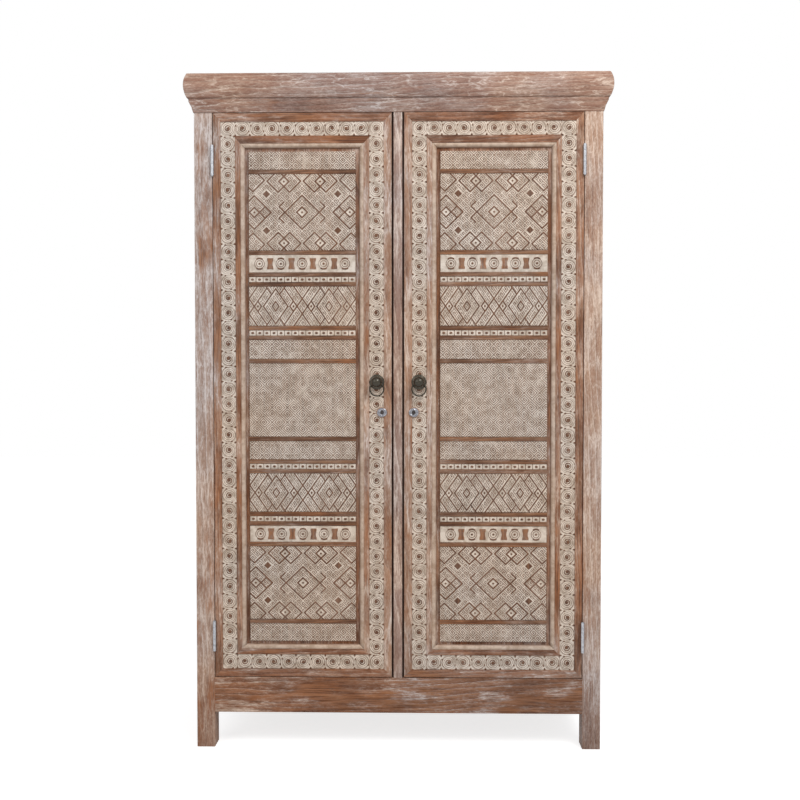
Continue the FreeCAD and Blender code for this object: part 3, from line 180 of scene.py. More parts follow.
deepBrown = (0.42, 0.33, 0.26)
# A slow change of cast along every board, weaker on carved pieces.
castColor = {"warm": (1.06, 0.96, 0.87), "cool": (0.95, 0.99, 1.06), "scale": 2.6, "carved": 0.4}
# Painted shade: the posts darken towards the feet, by height, with an uneven edge, as light falls off lower
# down.
footShade = {"full": 0.12, "none": 0.36, "uneven": 0.12, "shade": (0.74, 0.68, 0.65)}
# Seams of the back: how far the grain moves on from board to board, and where a seam starts and is darkest,
# in board widths from the middle of a board.
seamLook = {"apart": 0.37, "edge": 0.488, "full": 0.496, "color": (0.03, 0.014, 0.008)}
# Painted shade beside the door gaps: where it starts and is full, from the middle of the front, and how far
# behind the front face it is still full and where it has gone.
gapShade = {"mullion": (0.0106, 0.0119), "stile": (0.0176, 0.0163), "near": 0.004, "far": 0.009,
         "color": (0.035, 0.014, 0.007)}

# The grain: how much each pattern is drawn out along it, the noise that bends the rings and how far in
# metres, the slope and place of the pith, the scales of the noises and their shares in the brown.
grain = {
    "slow": 0.3, "long": 0.12, "thread": 0.035, "bent": 0.16, "bareLong": 0.22, "deepLong": 0.26,
    "bends": 9.0, "bend": 0.075, "lean": (0.035, 0.03, 0.025), "pith": (0.013, 0.16, -0.01),
    "fibre": 330.0, "cloud": 14.0, "vein": 900.0, "bare": 13.0, "deep": 19.0,
    "ringShare": 0.3, "fibreShare": 0.55, "cloudShare": 0.6, "rough": 0.68, "relief": 0.0005,
}
# The lime: scales of its patches, streaks, mottle, pores and crinkled lines, and the shares of each.
limeLook = {
    "patch": 24.0, "streak": 230.0, "mottle": 330.0, "pore": 620.0, "crinkle": 16.0, "folds": 7.0,
    "poreShare": 0.2, "mottleShare": 0.36, "outlineShare": 0.6, "gain": 1.35, "most": 0.94,
}
# Carved pieces: scale and share of the noise that frays the lime's edge, and the scales of the places where
# lime fills the lines, of the pale ground's shades, of its smears over the ridges and of the brown blocks.
carvedLook = {"fray": 900.0, "frayShare": 0.2, "filled": 26.0, "ground": 60.0, "smear": 9.0, "block": 95.0}


def stretched(tree, place, axis, squeeze, shift):
    # Coordinates squeezed along the grain, so that whatever reads them is drawn out that way.
    scale = [1.0, 1.0, 1.0]
    scale[axis] = squeeze
    return put(tree, "Mapping", {"Vector": place, "Location": shift, "Scale": scale}).outputs[0]


def limedWood(kind, along, shift, carved=False, gapShading=None, seams=None):
    # Growth rings round a leaning pith and fibres drawn out along the grain, then lime: brush streaks in
    # frayed patches, a fine mottle, filled pores and pale outlines along some of the rings, rubbed through
    # to warm bare wood here and there. shift moves the whole pattern.
    # On carved pieces the attribute "lime" turns the sunk ground pale, by way of a middle brown for fine
    # lines, and the attribute "brown" leaves bare wood.
    # The gaps' argument holds two distances from the middle of the front, unshaded and darkest, and where
    # the
    # front face lies: painted shade beside the door gaps, which fades inwards.
    # seams holds where a row of boards starts along X and how wide each is: every board gets its own grain.
    look = woodKinds[kind]
    material = bpy.data.materials.new(f"{kind}_{along}_{len(bpy.data.materials)}")
    material.use_nodes = True
    tree = material.node_tree
    shader = tree.nodes["Principled BSDF"]
    place = put(tree, "TexCoord").outputs["Object"]
    axis = "XYZ".index(along)
    if seams:
        across = put(tree, "SeparateXYZ", {"Vector": place}).outputs["X"]
        across = calc(tree, "DIVIDE", calc(tree, "SUBTRACT", across, seams[0]), seams[1])
        apart = calc(tree, "MULTIPLY", calc(tree, "FLOOR", across), seamLook["apart"])
        apart = put(tree, "CombineXYZ", {"X": apart, "Y": apart, "Z": apart}).outputs[0]
        place = put(tree, "VectorMath", {0: place, 1: apart}, operation="ADD").outputs[0]
    slow = stretched(tree, place, axis, grain["slow"], shift)
    long = stretched(tree, place, axis, grain["long"], shift)
    thread = stretched(tree, place, axis, grain["thread"], shift)

    # rings
    bent = put(tree, "TexNoise", {"Vector": stretched(tree, place, axis, grain["bent"], shift),
                                  "Scale": grain["bends"], "Detail": 3.0}).outputs["Color"]
    bent = put(tree, "VectorMath", {0: bent, 1: (0.5, 0.5, 0.5)}, operation="SUBTRACT").outputs[0]
    bent = put(tree, "VectorMath", {0: bent, 1: (grain["bend"],) * 3}, operation="MULTIPLY").outputs[0]
    lean = list(grain["lean"])
    lean[axis] = 0.0
    pith = list(grain["pith"])
    pith[0] += shift[0] * 0.01
    pith[2] += shift[2] * 0.01
    straight = put(tree, "Mapping", {"Vector": place, "Location": pith, "Rotation": lean}).outputs[0]
    straight = put(tree, "VectorMath", {0: straight, 1: bent}, operation="ADD").outputs[0]
    rings = put(tree, "TexWave", {"Vector": straight, "Scale": float(look["rings"]), "Distortion": 0.0},
                wave_type="RINGS", rings_direction="XYZ"[axis], wave_profile="SAW").outputs["Fac"]

    # brown of the bare wood
    fibre = noiseOf(tree, thread, grain["fibre"], 4.0, 0.6)
    cloud = noiseOf(tree, slow, grain["cloud"], 4.0, 0.6)
    tone = calc(tree, "MULTIPLY", rings, grain["ringShare"])
    tone = calc(tree, "ADD", tone, calc(tree, "MULTIPLY", fibre, grain["fibreShare"]))
    tone = calc(tree, "ADD", tone, calc(tree, "MULTIPLY", cloud, grain["cloudShare"]))
    wood = rampOf(tree, tone, ((0.47, look["dark"]), (0.69, look["mid"]), (0.92, look["light"])))
    vein = rampOf(tree, noiseOf(tree, thread, grain["vein"], 2.0), ((0.36, 0.55), (0.46, 1.0)))
    wood = mixOf(tree, 1.0, wood, vein, "MULTIPLY")

    # lime
    patch = noiseOf(tree, slow, limeLook["patch"], 6.0, 0.7)
    frayed = rampOf(tree, patch, ((look["patchy"] - 0.05, 0.0), (look["patchy"] + 0.1, 1.0)))
    streak = rampOf(tree, noiseOf(tree, long, limeLook["streak"], 5.0, 0.7), ((0.4, 0.2), (0.64, 1.0)))
    mottle = rampOf(tree, noiseOf(tree, slow, limeLook["mottle"], 4.0, 0.7), ((0.42, 0.0), (0.62, 1.0)))
    pore = rampOf(tree, noiseOf(tree, thread, limeLook["pore"], 2.0, 0.6), ((0.52, 0.0), (0.64, 1.0)))
    outline = rampOf(tree, rings, ((0.0, 1.0), (0.14, 0.0), (0.93, 0.0), (1.0, 1.0)))
    spread = rampOf(tree, cloud, ((0.38, 0.0), (0.55, 1.0)))
    crinkle = calc(tree, "MULTIPLY", noiseOf(tree, slow, limeLook["crinkle"], 5.0, 0.6), limeLook["folds"])
    crinkle = calc(tree, "ABSOLUTE", calc(tree, "SUBTRACT", calc(tree, "FRACT", crinkle), 0.5))
    crinkle = calc(tree, "MULTIPLY", rampOf(tree, crinkle, ((0.0, look["figure"]), (0.12, 0.0))), spread)
    lime = calc(tree, "MULTIPLY", calc(tree, "MULTIPLY", frayed, streak), look["blotch"])
    lime = calc(tree, "ADD", lime, calc(tree, "MULTIPLY", pore, limeLook["poreShare"]))
    lime = calc(tree, "ADD", lime, calc(tree, "MULTIPLY", mottle, limeLook["mottleShare"]))
    lime = calc(tree, "ADD", lime, crinkle)
    outline = calc(tree, "MULTIPLY", calc(tree, "MULTIPLY", outline, spread), limeLook["outlineShare"])
    lime = calc(tree, "ADD", lime, outline)
    lime = calc(tree, "MULTIPLY", lime, look["lime"] * limeLook["gain"])
    lime = calc(tree, "ADD", lime, look["veil"])
    lime = calc(tree, "MINIMUM", lime, limeLook["most"])
    white = rampOf(tree, lime, ((0.2, limeColor["thin"]), (0.8, limeColor["full"])))
    color = mixOf(tree, lime, wood, white)

    # rubbed through to bare wood, and deep brown patches
    bare = rampOf(tree, fibre, ((0.36, bareColor["dark"]), (0.56, bareColor["light"])))
    aside = stretched(tree, place, axis, grain["bareLong"], tuple(s + 5.3 for s in shift))
    rubbedAndShaded = noiseOf(tree, aside, grain["bare"], 6.0, 0.64)
    rubbedAndShaded = rampOf(tree, rubbedAndShaded, ((look["rubbedAndShaded"], 0.0), (look["rubbedAndShaded"] + 0.08, 0.8)))
    color = mixOf(tree, rubbedAndShaded, color, bare)
    aside = stretched(tree, place, axis, grain["deepLong"], tuple(s + 9.1 for s in shift))
    deep = noiseOf(tree, aside, grain["deep"], 6.0, 0.66)
    deep = rampOf(tree, deep, ((0.48, 0.0), (0.58, look["deep"])))
    color = mixOf(tree, deep, color, deepBrown, "MULTIPLY")
    if carved:
        pale = put(tree, "Attribute", attribute_name="lime").outputs["Fac"]
        fray = calc(tree, "SUBTRACT", noiseOf(tree, place, carvedLook["fray"], 2.0), 0.5)
        pale = calc(tree, "ADD", pale, calc(tree, "MULTIPLY", fray, carvedLook["frayShare"]))
        shallow = rampOf(tree, pale, ((0.18, 0.0), (0.34, 1.0)))
        filled = noiseOf(tree, place, carvedLook["filled"], 4.0, 0.6)
        filled = rampOf(tree, filled, ((0.48, 0.0), (0.68, 0.6)))
        pale = rampOf(tree, pale, ((0.16, 0.0), (0.26, 0.1), (0.46, 0.14), (0.68, 1.0)))
        pale = calc(tree, "MAXIMUM", pale, calc(tree, "MULTIPLY", filled, shallow))
        ground = noiseOf(tree, place, carvedLook["ground"], 5.0, 0.6)
        ground = rampOf(tree, ground, ((0.38, look["ground"][0]), (0.6, look["ground"][1])))
        smear = noiseOf(tree, place, carvedLook["smear"], 5.0, 0.6)
        smear = rampOf(tree, smear, ((0.45, 0.0), (0.66, 0.25)))
        color = mixOf(tree, smear, color, limeColor["thin"])
        color = mixOf(tree, pale, color, ground)
        brown = put(tree, "Attribute", attribute_name="brown").outputs["Fac"]
        broken = rampOf(tree, noiseOf(tree, place, carvedLook["block"], 5.0, 0.65), ((0.4, 0.8), (0.6, 0.3)))
        color = mixOf(tree, calc(tree, "MULTIPLY", brown, broken), color, bare)
    cast = noiseOf(tree, place, castColor["scale"], 3.0)
    cast = rampOf(tree, cast, ((0.4, castColor["warm"]), (0.6, castColor["cool"])))
    color = mixOf(tree, castColor["carved"] if carved else 1.0, color, cast, "MULTIPLY")
    # painted shade: posts and side panels darker towards the feet
    if kind == "post":
        height = put(tree, "SeparateXYZ", {"Vector": place}).outputs["Z"]
        height = calc(tree, "ADD", height, calc(tree, "MULTIPLY", cloud, footShade["uneven"]))
        heightShade = put(tree, "MapRange", {"Value": height, "From Min": footShade["full"],
                                       "From Max": footShade["none"]}).outputs[0]
        heightShade = rampOf(tree, heightShade, ((0.0, footShade["shade"]), (1.0, 1.0)))
        color = mixOf(tree, 1.0, color, heightShade, "MULTIPLY")
    if seams:
        seam = calc(tree, "ABSOLUTE", calc(tree, "SUBTRACT", calc(tree, "FRACT", across), 0.5))
        seam = rampOf(tree, seam, ((seamLook["edge"], 0.0), (seamLook["full"], 0.9)))
        color = mixOf(tree, seam, color, seamLook["color"])
    # painted shade on the edges beside the door gaps, full near the front face
    if gapShading:
        spot = put(tree, "SeparateXYZ", {"Vector": put(tree, "TexCoord").outputs["Object"]})
        beside = put(tree, "MapRange", {"Value": calc(tree, "ABSOLUTE", spot.outputs["X"]),
                                        "From Min": gapShading[0], "From Max": gapShading[1]}).outputs[0]
        inward = put(tree, "MapRange", {"Value": spot.outputs["Y"], "From Min": gapShading[2] + gapShade["far"],
                                        "From Max": gapShading[2] + gapShade["near"]}).outputs[0]
        color = mixOf(tree, calc(tree, "MULTIPLY", beside, inward), color, gapShade["color"])
    tree.links.new(color, shader.inputs["Base Color"])
    shader.inputs["Roughness"].default_value = grain["rough"]
    shader.inputs["Specular IOR Level"].default_value = 0.3
    height = calc(tree, "ADD", fibre, calc(tree, "MULTIPLY", rings, grain["ringShare"]))
    bump = put(tree, "Bump", {"Height": height, "Strength": 0.3, "Distance": grain["relief"]})
    tree.links.new(bump.outputs["Normal"], shader.inputs["Normal"])
    return material


def metal(name, color, rough, metallic=1.0, spots=0.0):
    # Plain metal with faint uneven polish. spots darkens it in blotches.
    material = bpy.data.materials.new(name)
    material.use_nodes = True
    tree = material.node_tree
    shader = tree.nodes["Principled BSDF"]
    place = put(tree, "TexCoord").outputs["Object"]
    cloud = noiseOf(tree, place, 160.0, 4.0)
    dull = tuple(c * (1 - spots) for c in color)
    tree.links.new(rampOf(tree, cloud, ((0.4, dull), (0.62, color))), shader.inputs["Base Color"])
    shader.inputs["Metallic"].default_value = metallic
    tree.links.new(rampOf(tree, cloud, ((0.35, rough * 1.25), (0.65, rough))), shader.inputs["Roughness"])
    return material


metals = {
    "hinge_steel": metal("hingeSteel", (0.46, 0.47, 0.5), 0.34, 0.9, 0.25),
    "lock_chrome": metal("lockChrome", (0.35, 0.35, 0.38), 0.2, 1.0, 0.35),
    "lock_plug": metal("lockPlug", (0.07, 0.06, 0.06), 0.3, 0.9, 0.3),
    "dark_bronze": metal("darkBronze", (0.042, 0.033, 0.018), 0.32, 0.7, 0.4),
}
bronze = metals["dark_bronze"].node_tree.nodes["Principled BSDF"]
bronze.inputs["Coat Weight"].default_value = 0.4  # handled until it shines
bronze.inputs["Coat Roughness"].default_value = 0.12

# Boards taken from the frame

# Each board with the way its grain runs and its kind of wood.
boards = {
    "apron_rail": ("X", "apron"), "front_top_rail": ("X", "apron"), "back_bottom_rail": ("X", "inside"),
    "back_top_rail": ("X", "inside"), "back_boards": ("Z", "inside"), "bottom_board": ("X", "inside"),
    "bottom_cleats": ("X", "inside"), "top_board": ("X", "inside"), "cornice_front": ("X", "cornice"),
    "centre_mullion": ("Z", "mullion"), "shelf": ("X", "inside"), "shelf_cleats": ("Y", "inside"),
    "hanging_rail": ("X", "inside"), "door_stops": ("X", "inside"),
}
for word in ("left", "right"):
    boards.update({
        f"post_front_{word}": ("Z", "post"), f"post_back_{word}": ("Z", "post"),
        f"side_bottom_rail_{word}": ("Y", "apron"), f"side_top_rail_{word}": ("Y", "apron"),
        f"side_panel_{word}": ("Z", "post"), f"cornice_{word}": ("Y", "cornice"),
        f"door_{word}_hinge_stile": ("Z", "door"), f"door_{word}_meeting_stile": ("Z", "meeting"),
        f"door_{word}_bottom_rail": ("X", "rail"), f"door_{word}_top_rail": ("X", "rail"),
    })
easing = {"width": 0.0011, "segments": 2, "angle": math.radians(32), "join": 2e-5, "flat": math.radians(0.3)}
backBoardCount = 6


def easedCopy(node, material):
    # The board with its corners rubbed round: loose triangles joined, flats made whole, then a bevel.
    source = nodes[node]
    mesh = source.data.copy()
    work = bmesh.new()
    work.from_mesh(mesh)
    bmesh.ops.remove_doubles(work, verts=work.verts, dist=easing["join"])
    bmesh.ops.dissolve_limit(work, angle_limit=easing["flat"], verts=work.verts, edges=work.edges)
    work.to_mesh(mesh)
    work.free()
    mesh.polygons.foreach_set("use_smooth", np.ones(len(mesh.polygons), bool))
    piece = bpy.data.objects.new(node + "_eased", mesh)
    bpy.context.scene.collection.objects.link(piece)
    bevel = piece.modifiers.new("rubbedAndShaded", "BEVEL")
    bevel.width = easing["width"]
    bevel.segments = easing["segments"]
    bevel.angle_limit = easing["angle"]
    bevel.limit_method = "ANGLE"
    piece.modifiers.new("flats", "WEIGHTED_NORMAL").keep_sharp = True
    return finishPiece(piece, source["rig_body"], material, (node,))


for index, (node, (along, kind)) in enumerate(sorted(boards.items())):
    shift = (0.37 * index % 2.3, 0.61 * index % 1.9, 0.83 * index % 2.7)  # each board from another tree
    gapShading, seams = None, None
    # the mullion and the meeting stiles get painted shade beside the door gaps
    if node == "centre_mullion":
        gapShading = (*gapShade["mullion"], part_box(node)[0].y)
    elif "meeting_stile" in node:
        gapShading = (*gapShade["stile"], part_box(node)[0].y)
    elif node == "back_boards":
        low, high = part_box(node)
        seams = (low.x, (high.x - low.x) / backBoardCount)
    wood = limedWood(kind, along, shift, gapShading=gapShading, seams=seams)
    if seams:
        nodes[node].data.materials.clear()
        nodes[node].data.materials.append(wood)
    else:
        easedCopy(node, wood)
print("boards dressed:", len(boards))

# Every other node that is shown is metal, named by what it belongs to.
for node, item in nodes.items():
    if item.hide_render or node in boards or "panel" in node or "bead" in node:
        continue
    finish = "hinge_steel"
    if "knob" in node or "ring" in node:
        finish = "dark_bronze"
    elif "lock" in node:
        finish = "lock_chrome"
    item.data.materials.clear()
    item.data.materials.append(metals["lock_plug" if "plug" in node else finish])
print("metal dressed")

# Carved field of each door

carving = {
    "face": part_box("door_left_hinge_stile")[0].y,  # front plane of the doors
    "lineTop": 1.7 * mm,      # how far behind that plane the plain ridges lie
    "ground": 3.1 * mm,       # and the sunk ground between them
    "sunk": 1.2 * mm,         # how much deeper a sheet's outermost points lie
    "wander": 0.12 * mm,      # unevenness of a surface cut by hand
    "columns": {"fret": 168, "star": 168, "centre": 168, "lozenge": 192},  # lattice steps across the field
    "rows": {"fret": 60, "star": 244, "centre": 240, "lozenge": 100},      # and half steps up each band
    "fine": {"fret": 0.68, "star": 0.64, "centre": 0.66, "lozenge": 0.62},  # height of the fine lines
    "cell": {"fret": 16, "centre": 24},  # steps across one large square spiral
    "tongue": 7 * mm,         # how far the panel goes into its groove
    "trim": 20.7 * mm,        # from the edge of the opening to the field
    "sideEdge": 0.8 * mm,     # from the side of the block to the side of a sheet
    "bar": 10.8 * mm,         # height of the plain bar between two bands
    "barTop": 1.5 * mm,       # where the bars' faces, their feet and the block's face lie
    "barFoot": 4.6 * mm,
    "blockTop": 3.7 * mm,
    "blockBack": 11 * mm,
    "plateTop": 10 * mm,      # face of the plain plate round the field
    "rubbedAndShaded": 0.7 * mm,       # rounding of the bars
}
bandsUp = (("fret", 48.4), ("star", 199.5), ("roundel", 45), ("pip", 15), ("lozenge", 105.5), ("pip", 15),
           ("fret", 50.5), ("centre", 199), ("fret", 52), ("pip", 15), ("lozenge", 107), ("pip", 15),
           ("roundel", 48), ("star", 205), ("fret", 49))  # kind and height share, from the bottom


def latticeOf(columns, rows):
    # Points of a square lattice set at 45 degrees: every second row is moved by half a step.
    # Gives each point's place in half steps from the middle, and the faces that follow the diagonals.
    even = 2 * np.arange(columns + 1)
    odd = even[:-1] + 1
    pairs = rows // 2
    across = np.concatenate([np.tile(np.concatenate([even, odd]), pairs), even])
    perPair = 2 * columns + 1
    level = np.concatenate([np.repeat(np.arange(rows), np.where(np.arange(rows) % 2, columns, columns + 1)),
                            np.full(columns + 1, rows)])
    # first point of each row
    starts = [row // 2 * perPair + (columns + 1) * (row % 2) for row in range(rows + 1)]
    quads, triangles = [], []
    every, inner = np.arange(columns), np.arange(1, columns)
    for row in range(0, rows, 2):
        here, between, above = starts[row:row + 3]
        quads.append(np.stack([here + inner, between + inner, above + inner, between + inner - 1], 1))
        triangles.append([here, between, above])
        triangles.append([here + columns, above + columns, between + columns - 1])
    for row in range(1, rows - 1, 2):
        here, between, above = starts[row:row + 3]
        quads.append(np.stack([here + every, between + every + 1, above + every, between + every], 1))
    low = np.stack([every, every + 1, starts[1] + every], 1)
    high = np.stack([starts[rows - 1] + every, starts[rows] + every + 1, starts[rows] + every], 1)
    faces = np.concatenate(quads).tolist() + np.concatenate([np.array(triangles), low, high]).tolist()
    return across - columns, level - rows // 2, faces


def gridOf(columns, rows):
    # A plain grid of points in steps from the middle, and its faces.
    across, level = np.meshgrid(np.arange(columns + 1), np.arange(rows + 1))
    first = (np.arange(rows)[:, None] * (columns + 1) + np.arange(columns)[None, :]).ravel()
    faces = np.stack([first, first + 1, first + columns + 2, first + columns + 1], 1).tolist()
    return across.ravel() - columns / 2, level.ravel() - rows / 2, faces


def nearLines(x, z, lines):
    # Distance from each point to the nearest of several straight stretches, in half steps: on each stretch
    # the foot of the perpendicular, held between its ends.
    best = np.full(x.shape, 1e9)
    for (ax, az), (bx, bz) in lines:
        dx, dz = bx - ax, bz - az
        t = np.clip(((x - ax) * dx + (z - az) * dz) / (dx * dx + dz * dz), 0, 1)
        best = np.minimum(best, np.hypot(x - ax - t * dx, z - az - t * dz))
    return best


def spiralsIn(u, v, cell, pitch, reach):
    # Square spirals in square cells: the larger of the two distances from the middle of the cell,
    # with one side moved out by a pitch so that the rings join. A line stands at each whole pitch.
    a = (u + cell // 2) % cell - cell // 2
    b = (v + cell // 2) % cell - cell // 2
    flip = ((u + cell // 2) // cell + (v + cell // 2) // cell) % 2 == 0
    a = np.where(flip, a, -a)
    ring = np.where(a + b > 0, np.maximum(a, b), np.maximum(-a, -b - pitch))
    off = np.abs((ring + pitch // 2) % pitch - pitch // 2)
    line = np.where(ring <= reach + 1, np.select([off == 0, off == 1], [1.0, 0.66], 0.0), 0.0)
    eye = (np.abs(a) <= 1) & (np.abs(b) <= 1)
    return np.maximum(line, eye * 1.2)


def diamondLine(x, z, half):
    # Distance to a diamond's outline, in half steps across the line.
    return np.abs(np.abs(x) + np.abs(z) - half) / math.sqrt(2)


def ridge(distance, half=1.1, slope=1.5):
    # 1 on a line and 0 beside it, falling over the slope round the line's half width.
    return np.clip((half + slope / 2 - distance) / slope, 0, 1)


# The star band, drawn for one quarter and folded into the others, in half steps from its middle: hooked
# lines, diamonds in outline, solid dots and the calm places without spirals, the last three by middle and
# half width.
starPlan = {
    "lines": (((54, 0), (72, 18)), ((72, 18), (57, 33)), ((110, 99), (75, 64)), ((75, 64), (41, 98)),
              ((73, 98), (39, 64)), ((39, 64), (4, 99)), ((4, 99), (27, 122)), ((110, 99), (87, 122)),
              ((57, 114), (49, 122)), ((57, 114), (65, 122)), ((97, 0), (150, 53)), ((150, 53), (168, 35)),
              ((138, 122), (118, 102)), ((118, 102), (154, 66)), ((154, 66), (168, 80)),
              ((134, 0), (116, 18)), ((116, 18), (98, 0))),
    "outlines": ((0, 0, 54), (0, 0, 17), (57, 98, 16), (150, 0, 16)),
    "dots": ((112, 58, 12), (0, 0, 4), (57, 98, 4), (150, 0, 4)),
    "calm": ((57, 98, 16), (150, 0, 16), (0, 0, 17), (112, 58, 18)),
    "margin": 4.2,
}


def starField(x, z, fine):
    # One large diamond with hooked corners, two clusters above and below, one at each side. A diamond is
    # where the distances along both axes add up to its half width.
    u, v = (x + z) // 2, (x - z) // 2
    fill = spiralsIn(u, v, cell=12, pitch=4, reach=4) * fine
    ax, az = np.abs(x), np.abs(z)
    near = nearLines(ax, az, starPlan["lines"])
    for cx, cz, half in starPlan["outlines"]:
        near = np.minimum(near, diamondLine(ax - cx, az - cz, half))
    solid = np.min([np.abs(ax - cx) + np.abs(az - cz) - half for cx, cz, half in starPlan["dots"]], axis=0)
    calm = np.any([np.abs(ax - cx) + np.abs(az - cz) < half for cx, cz, half in starPlan["calm"]], axis=0)
    fill = np.where((near < starPlan["margin"]) | calm, 0, fill)
    return np.maximum(np.maximum(ridge(near, 2.5, 1.6), fill), ridge(solid, 0, 2))


# The lozenge band, in half steps: how far the pattern repeats, the slanted lines by where they cross the
# middle line, the corner stretches by that and the height they start or end at, and the dots.
lozengePlan = {
    "repeat": 192, "cross": 19, "side": 52, "stripe": 84, "inner": (45, 14), "outer": (111, 30),
    "tall": (96, 44), "tallFrom": (113, 31), "dot": (32, 4), "calm": 12, "margin": 3.6,
}


def lozengeField(x, z, fine):
    # Tall lozenges a fold apart, small ones between them, and slanted stripes along their sides: t runs
    # from the middle of a fold outwards, and a slanted line is where t plus or minus the height is fixed.
    plan = lozengePlan
    t = np.abs(x - plan["repeat"] * np.round(x / plan["repeat"]))
    az = np.abs(z)
    near = np.minimum(np.abs(t - az - plan["side"]), np.abs(np.abs(az - t) - plan["cross"]))
    near = np.minimum(near, np.abs(t + az - plan["cross"]))
    near = np.minimum(near, np.where(az < plan["inner"][1], np.abs(t + az - plan["inner"][0]), np.inf))
    near = np.minimum(near, np.where(az > plan["outer"][1], np.abs(t + az - plan["outer"][0]), np.inf))
    near = np.minimum(near, np.abs(t - az - plan["stripe"])) / math.sqrt(2)
    beyond = (t + az > plan["tallFrom"][0]) & (az > plan["tallFrom"][1])
    near = np.where(beyond, diamondLine(t - plan["tall"][0], az, plan["tall"][1]), near)
    fromDot = np.abs(t - plan["dot"][0]) + az
    solid = fromDot - plan["dot"][1]
    u, v = (x + z) // 2, (x - z) // 2
    fill = spiralsIn(u + 6, v, cell=12, pitch=4, reach=4) * fine
    fill = np.where((near < plan["margin"]) | (fromDot < plan["calm"]), 0, fill)
    return np.maximum(np.maximum(ridge(near, 2.1, 1.4), fill), ridge(solid, 0, 2))


# In millimetres: the radii of the eye, the rings and the arc, the block's half width and half height, and
# how far it keeps from the middle of a disc. An arc is where the height is over steep times the radius.
roundel = {"pitch": 57.0, "aside": 2, "eye": 3.0, "rings": (8.2, 13.0), "line": 0.9, "arc": 14.2,
           "arcLine": 2.2, "steep": 0.82, "blockHalf": 8.5, "blockUp": 15.0, "clear": 22.0}


def roundelField(x, z):
    # Five ringed discs with an arc above and below each, and a waisted brown block between neighbours:
    # the points that keep clear of both discs, within the block's half width and height.
    pitch = roundel["pitch"]
    k = np.clip(np.round(x / pitch), -roundel["aside"], roundel["aside"])
    r = np.hypot(x - k * pitch, z)
    inner, outer = (ridge(np.abs(r - radius), roundel["line"], 1.2) for radius in roundel["rings"])
    rings = np.maximum(inner, outer) * 0.85
    arcs = ridge(np.abs(r - roundel["arc"]), roundel["arcLine"], 1.2)
    arcs = np.where(np.abs(z) > roundel["steep"] * r, arcs, 0)
    eye = ridge(r, roundel["eye"], 1.4)
    apart = np.abs(x - (np.floor(x / pitch) + 0.5) * pitch)
    outside = np.maximum(apart - roundel["blockHalf"], np.abs(z) - roundel["blockUp"])
    block = ridge(np.maximum(outside, roundel["clear"] - r), 0, 2.2)
    block = np.where(np.abs(x) < roundel["aside"] * pitch, block, 0)
    return np.maximum(np.maximum(rings, arcs), np.maximum(eye, block * 0.7)), block


pips = {"count": 15, "strip": 0.9, "stripHeight": 0.9, "eye": 3.1, "eyeWider": 1.3}  # in millimetres


def pipField(x, z, width):
    # Pale squares with a dark eye, parted by thin plain strips.
    pitch = width / pips["count"]
    dx = x - np.round(x / pitch) * pitch
    part = ridge(pitch / 2 - np.abs(dx), pips["strip"], 1.2) * pips["stripHeight"]
    eye = ridge(np.hypot(dx / pips["eyeWider"], z), pips["eye"], 1.4)
    return np.maximum(part, eye)


def fieldPlaces(word):
    # The opening's middle, the field's edges and each band's low and high edge, from the frame.
    panelLow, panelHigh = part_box(f"door_{word}_panel")
    inset = carving["tongue"] + carving["trim"]
    middle = (panelLow.x + panelHigh.x) / 2
    half = (panelHigh.x - panelLow.x) / 2 - inset
    low, high = panelLow.z + inset, panelHigh.z - inset
    bars = (len(bandsUp) - 1) * carving["bar"]
    scale = (high - low - bars) / sum(share for _, share in bandsUp)
    bands, start = [], low
    for kind, share in bandsUp:
        end = start + share * scale
        bands.append((kind, start, end))
        start = end + carving["bar"]
    return middle, half, low, high, bands


def carvedSheet(name, kind, middle, halfWidth, low, high):
    # A sheet whose depth follows the ornament: the ground's depth less the ridges' height times how far
    # the ornament stands at that point, from 0 to 1, and a slow wander of two sine waves.
    width, height = 2 * halfWidth, high - low
    if kind in carving["rows"]:
        columns, rows = carving["columns"][kind], carving["rows"][kind]
        x, z, faces = latticeOf(columns, rows)
        fine = carving["fine"][kind]
        if kind == "star":
            stand = starField(x, z, fine)
        elif kind == "lozenge":
            stand = lozengeField(x, z, fine)
        else:
            u, v = (x + z) // 2, (x - z) // 2
            stand = spiralsIn(u, v, carving["cell"][kind], pitch=4, reach=12) * fine
        xs = middle + x * halfWidth / columns
        edge = (np.abs(x) >= columns) | (np.abs(z) >= rows // 2)
    else:
        columns, rows = int(width / (1.1 * mm)), int(height / (1.0 * mm))
        x, z, faces = gridOf(columns, rows)
        across, up = x * width / columns / mm, z * height / rows / mm
        if kind == "roundel":
            stand, brown = roundelField(across, up)
        else:
            stand = pipField(across, up, width / mm)
        xs = middle + x * width / columns
        edge = (np.abs(x) >= columns / 2) | (np.abs(z) >= rows / 2)
    zs = (low + high) / 2 + z * height / rows
    wander = carving["wander"] * (np.sin(xs * 41 + zs * 23) + np.sin(zs * 57 - xs * 19))
    depth = carving["ground"] - (carving["ground"] - carving["lineTop"]) * stand + wander
    depth = np.where(edge, carving["ground"] + carving["sunk"], depth)
    piece = linkMesh(name, np.stack([xs, carving["face"] + depth, zs], 1), faces)
    attribute = piece.data.attributes.new("lime", "FLOAT", "POINT")
    attribute.data.foreach_set("value", (1 - stand).astype(np.float32))
    if kind == "roundel":
        attribute = piece.data.attributes.new("brown", "FLOAT", "POINT")
        attribute.data.foreach_set("value", brown.astype(np.float32))
    return piece


def boxFaces(start):
    # The six faces of a box whose eight corners follow from start on.
    return [[start + k for k in face] for face in (
        (0, 1, 2, 3), (7, 6, 5, 4), (4, 5, 1, 0), (5, 6, 2, 1), (6, 7, 3, 2), (7, 4, 0, 3))]


def boxPoints(x0, x1, y0, y1, z0, z1):
    # A box's corners: the front four round, then the back four.
    return [(x0, y0, z0), (x1, y0, z0), (x1, y0, z1), (x0, y0, z1),
            (x0, y1, z0), (x1, y1, z0), (x1, y1, z1), (x0, y1, z1)]


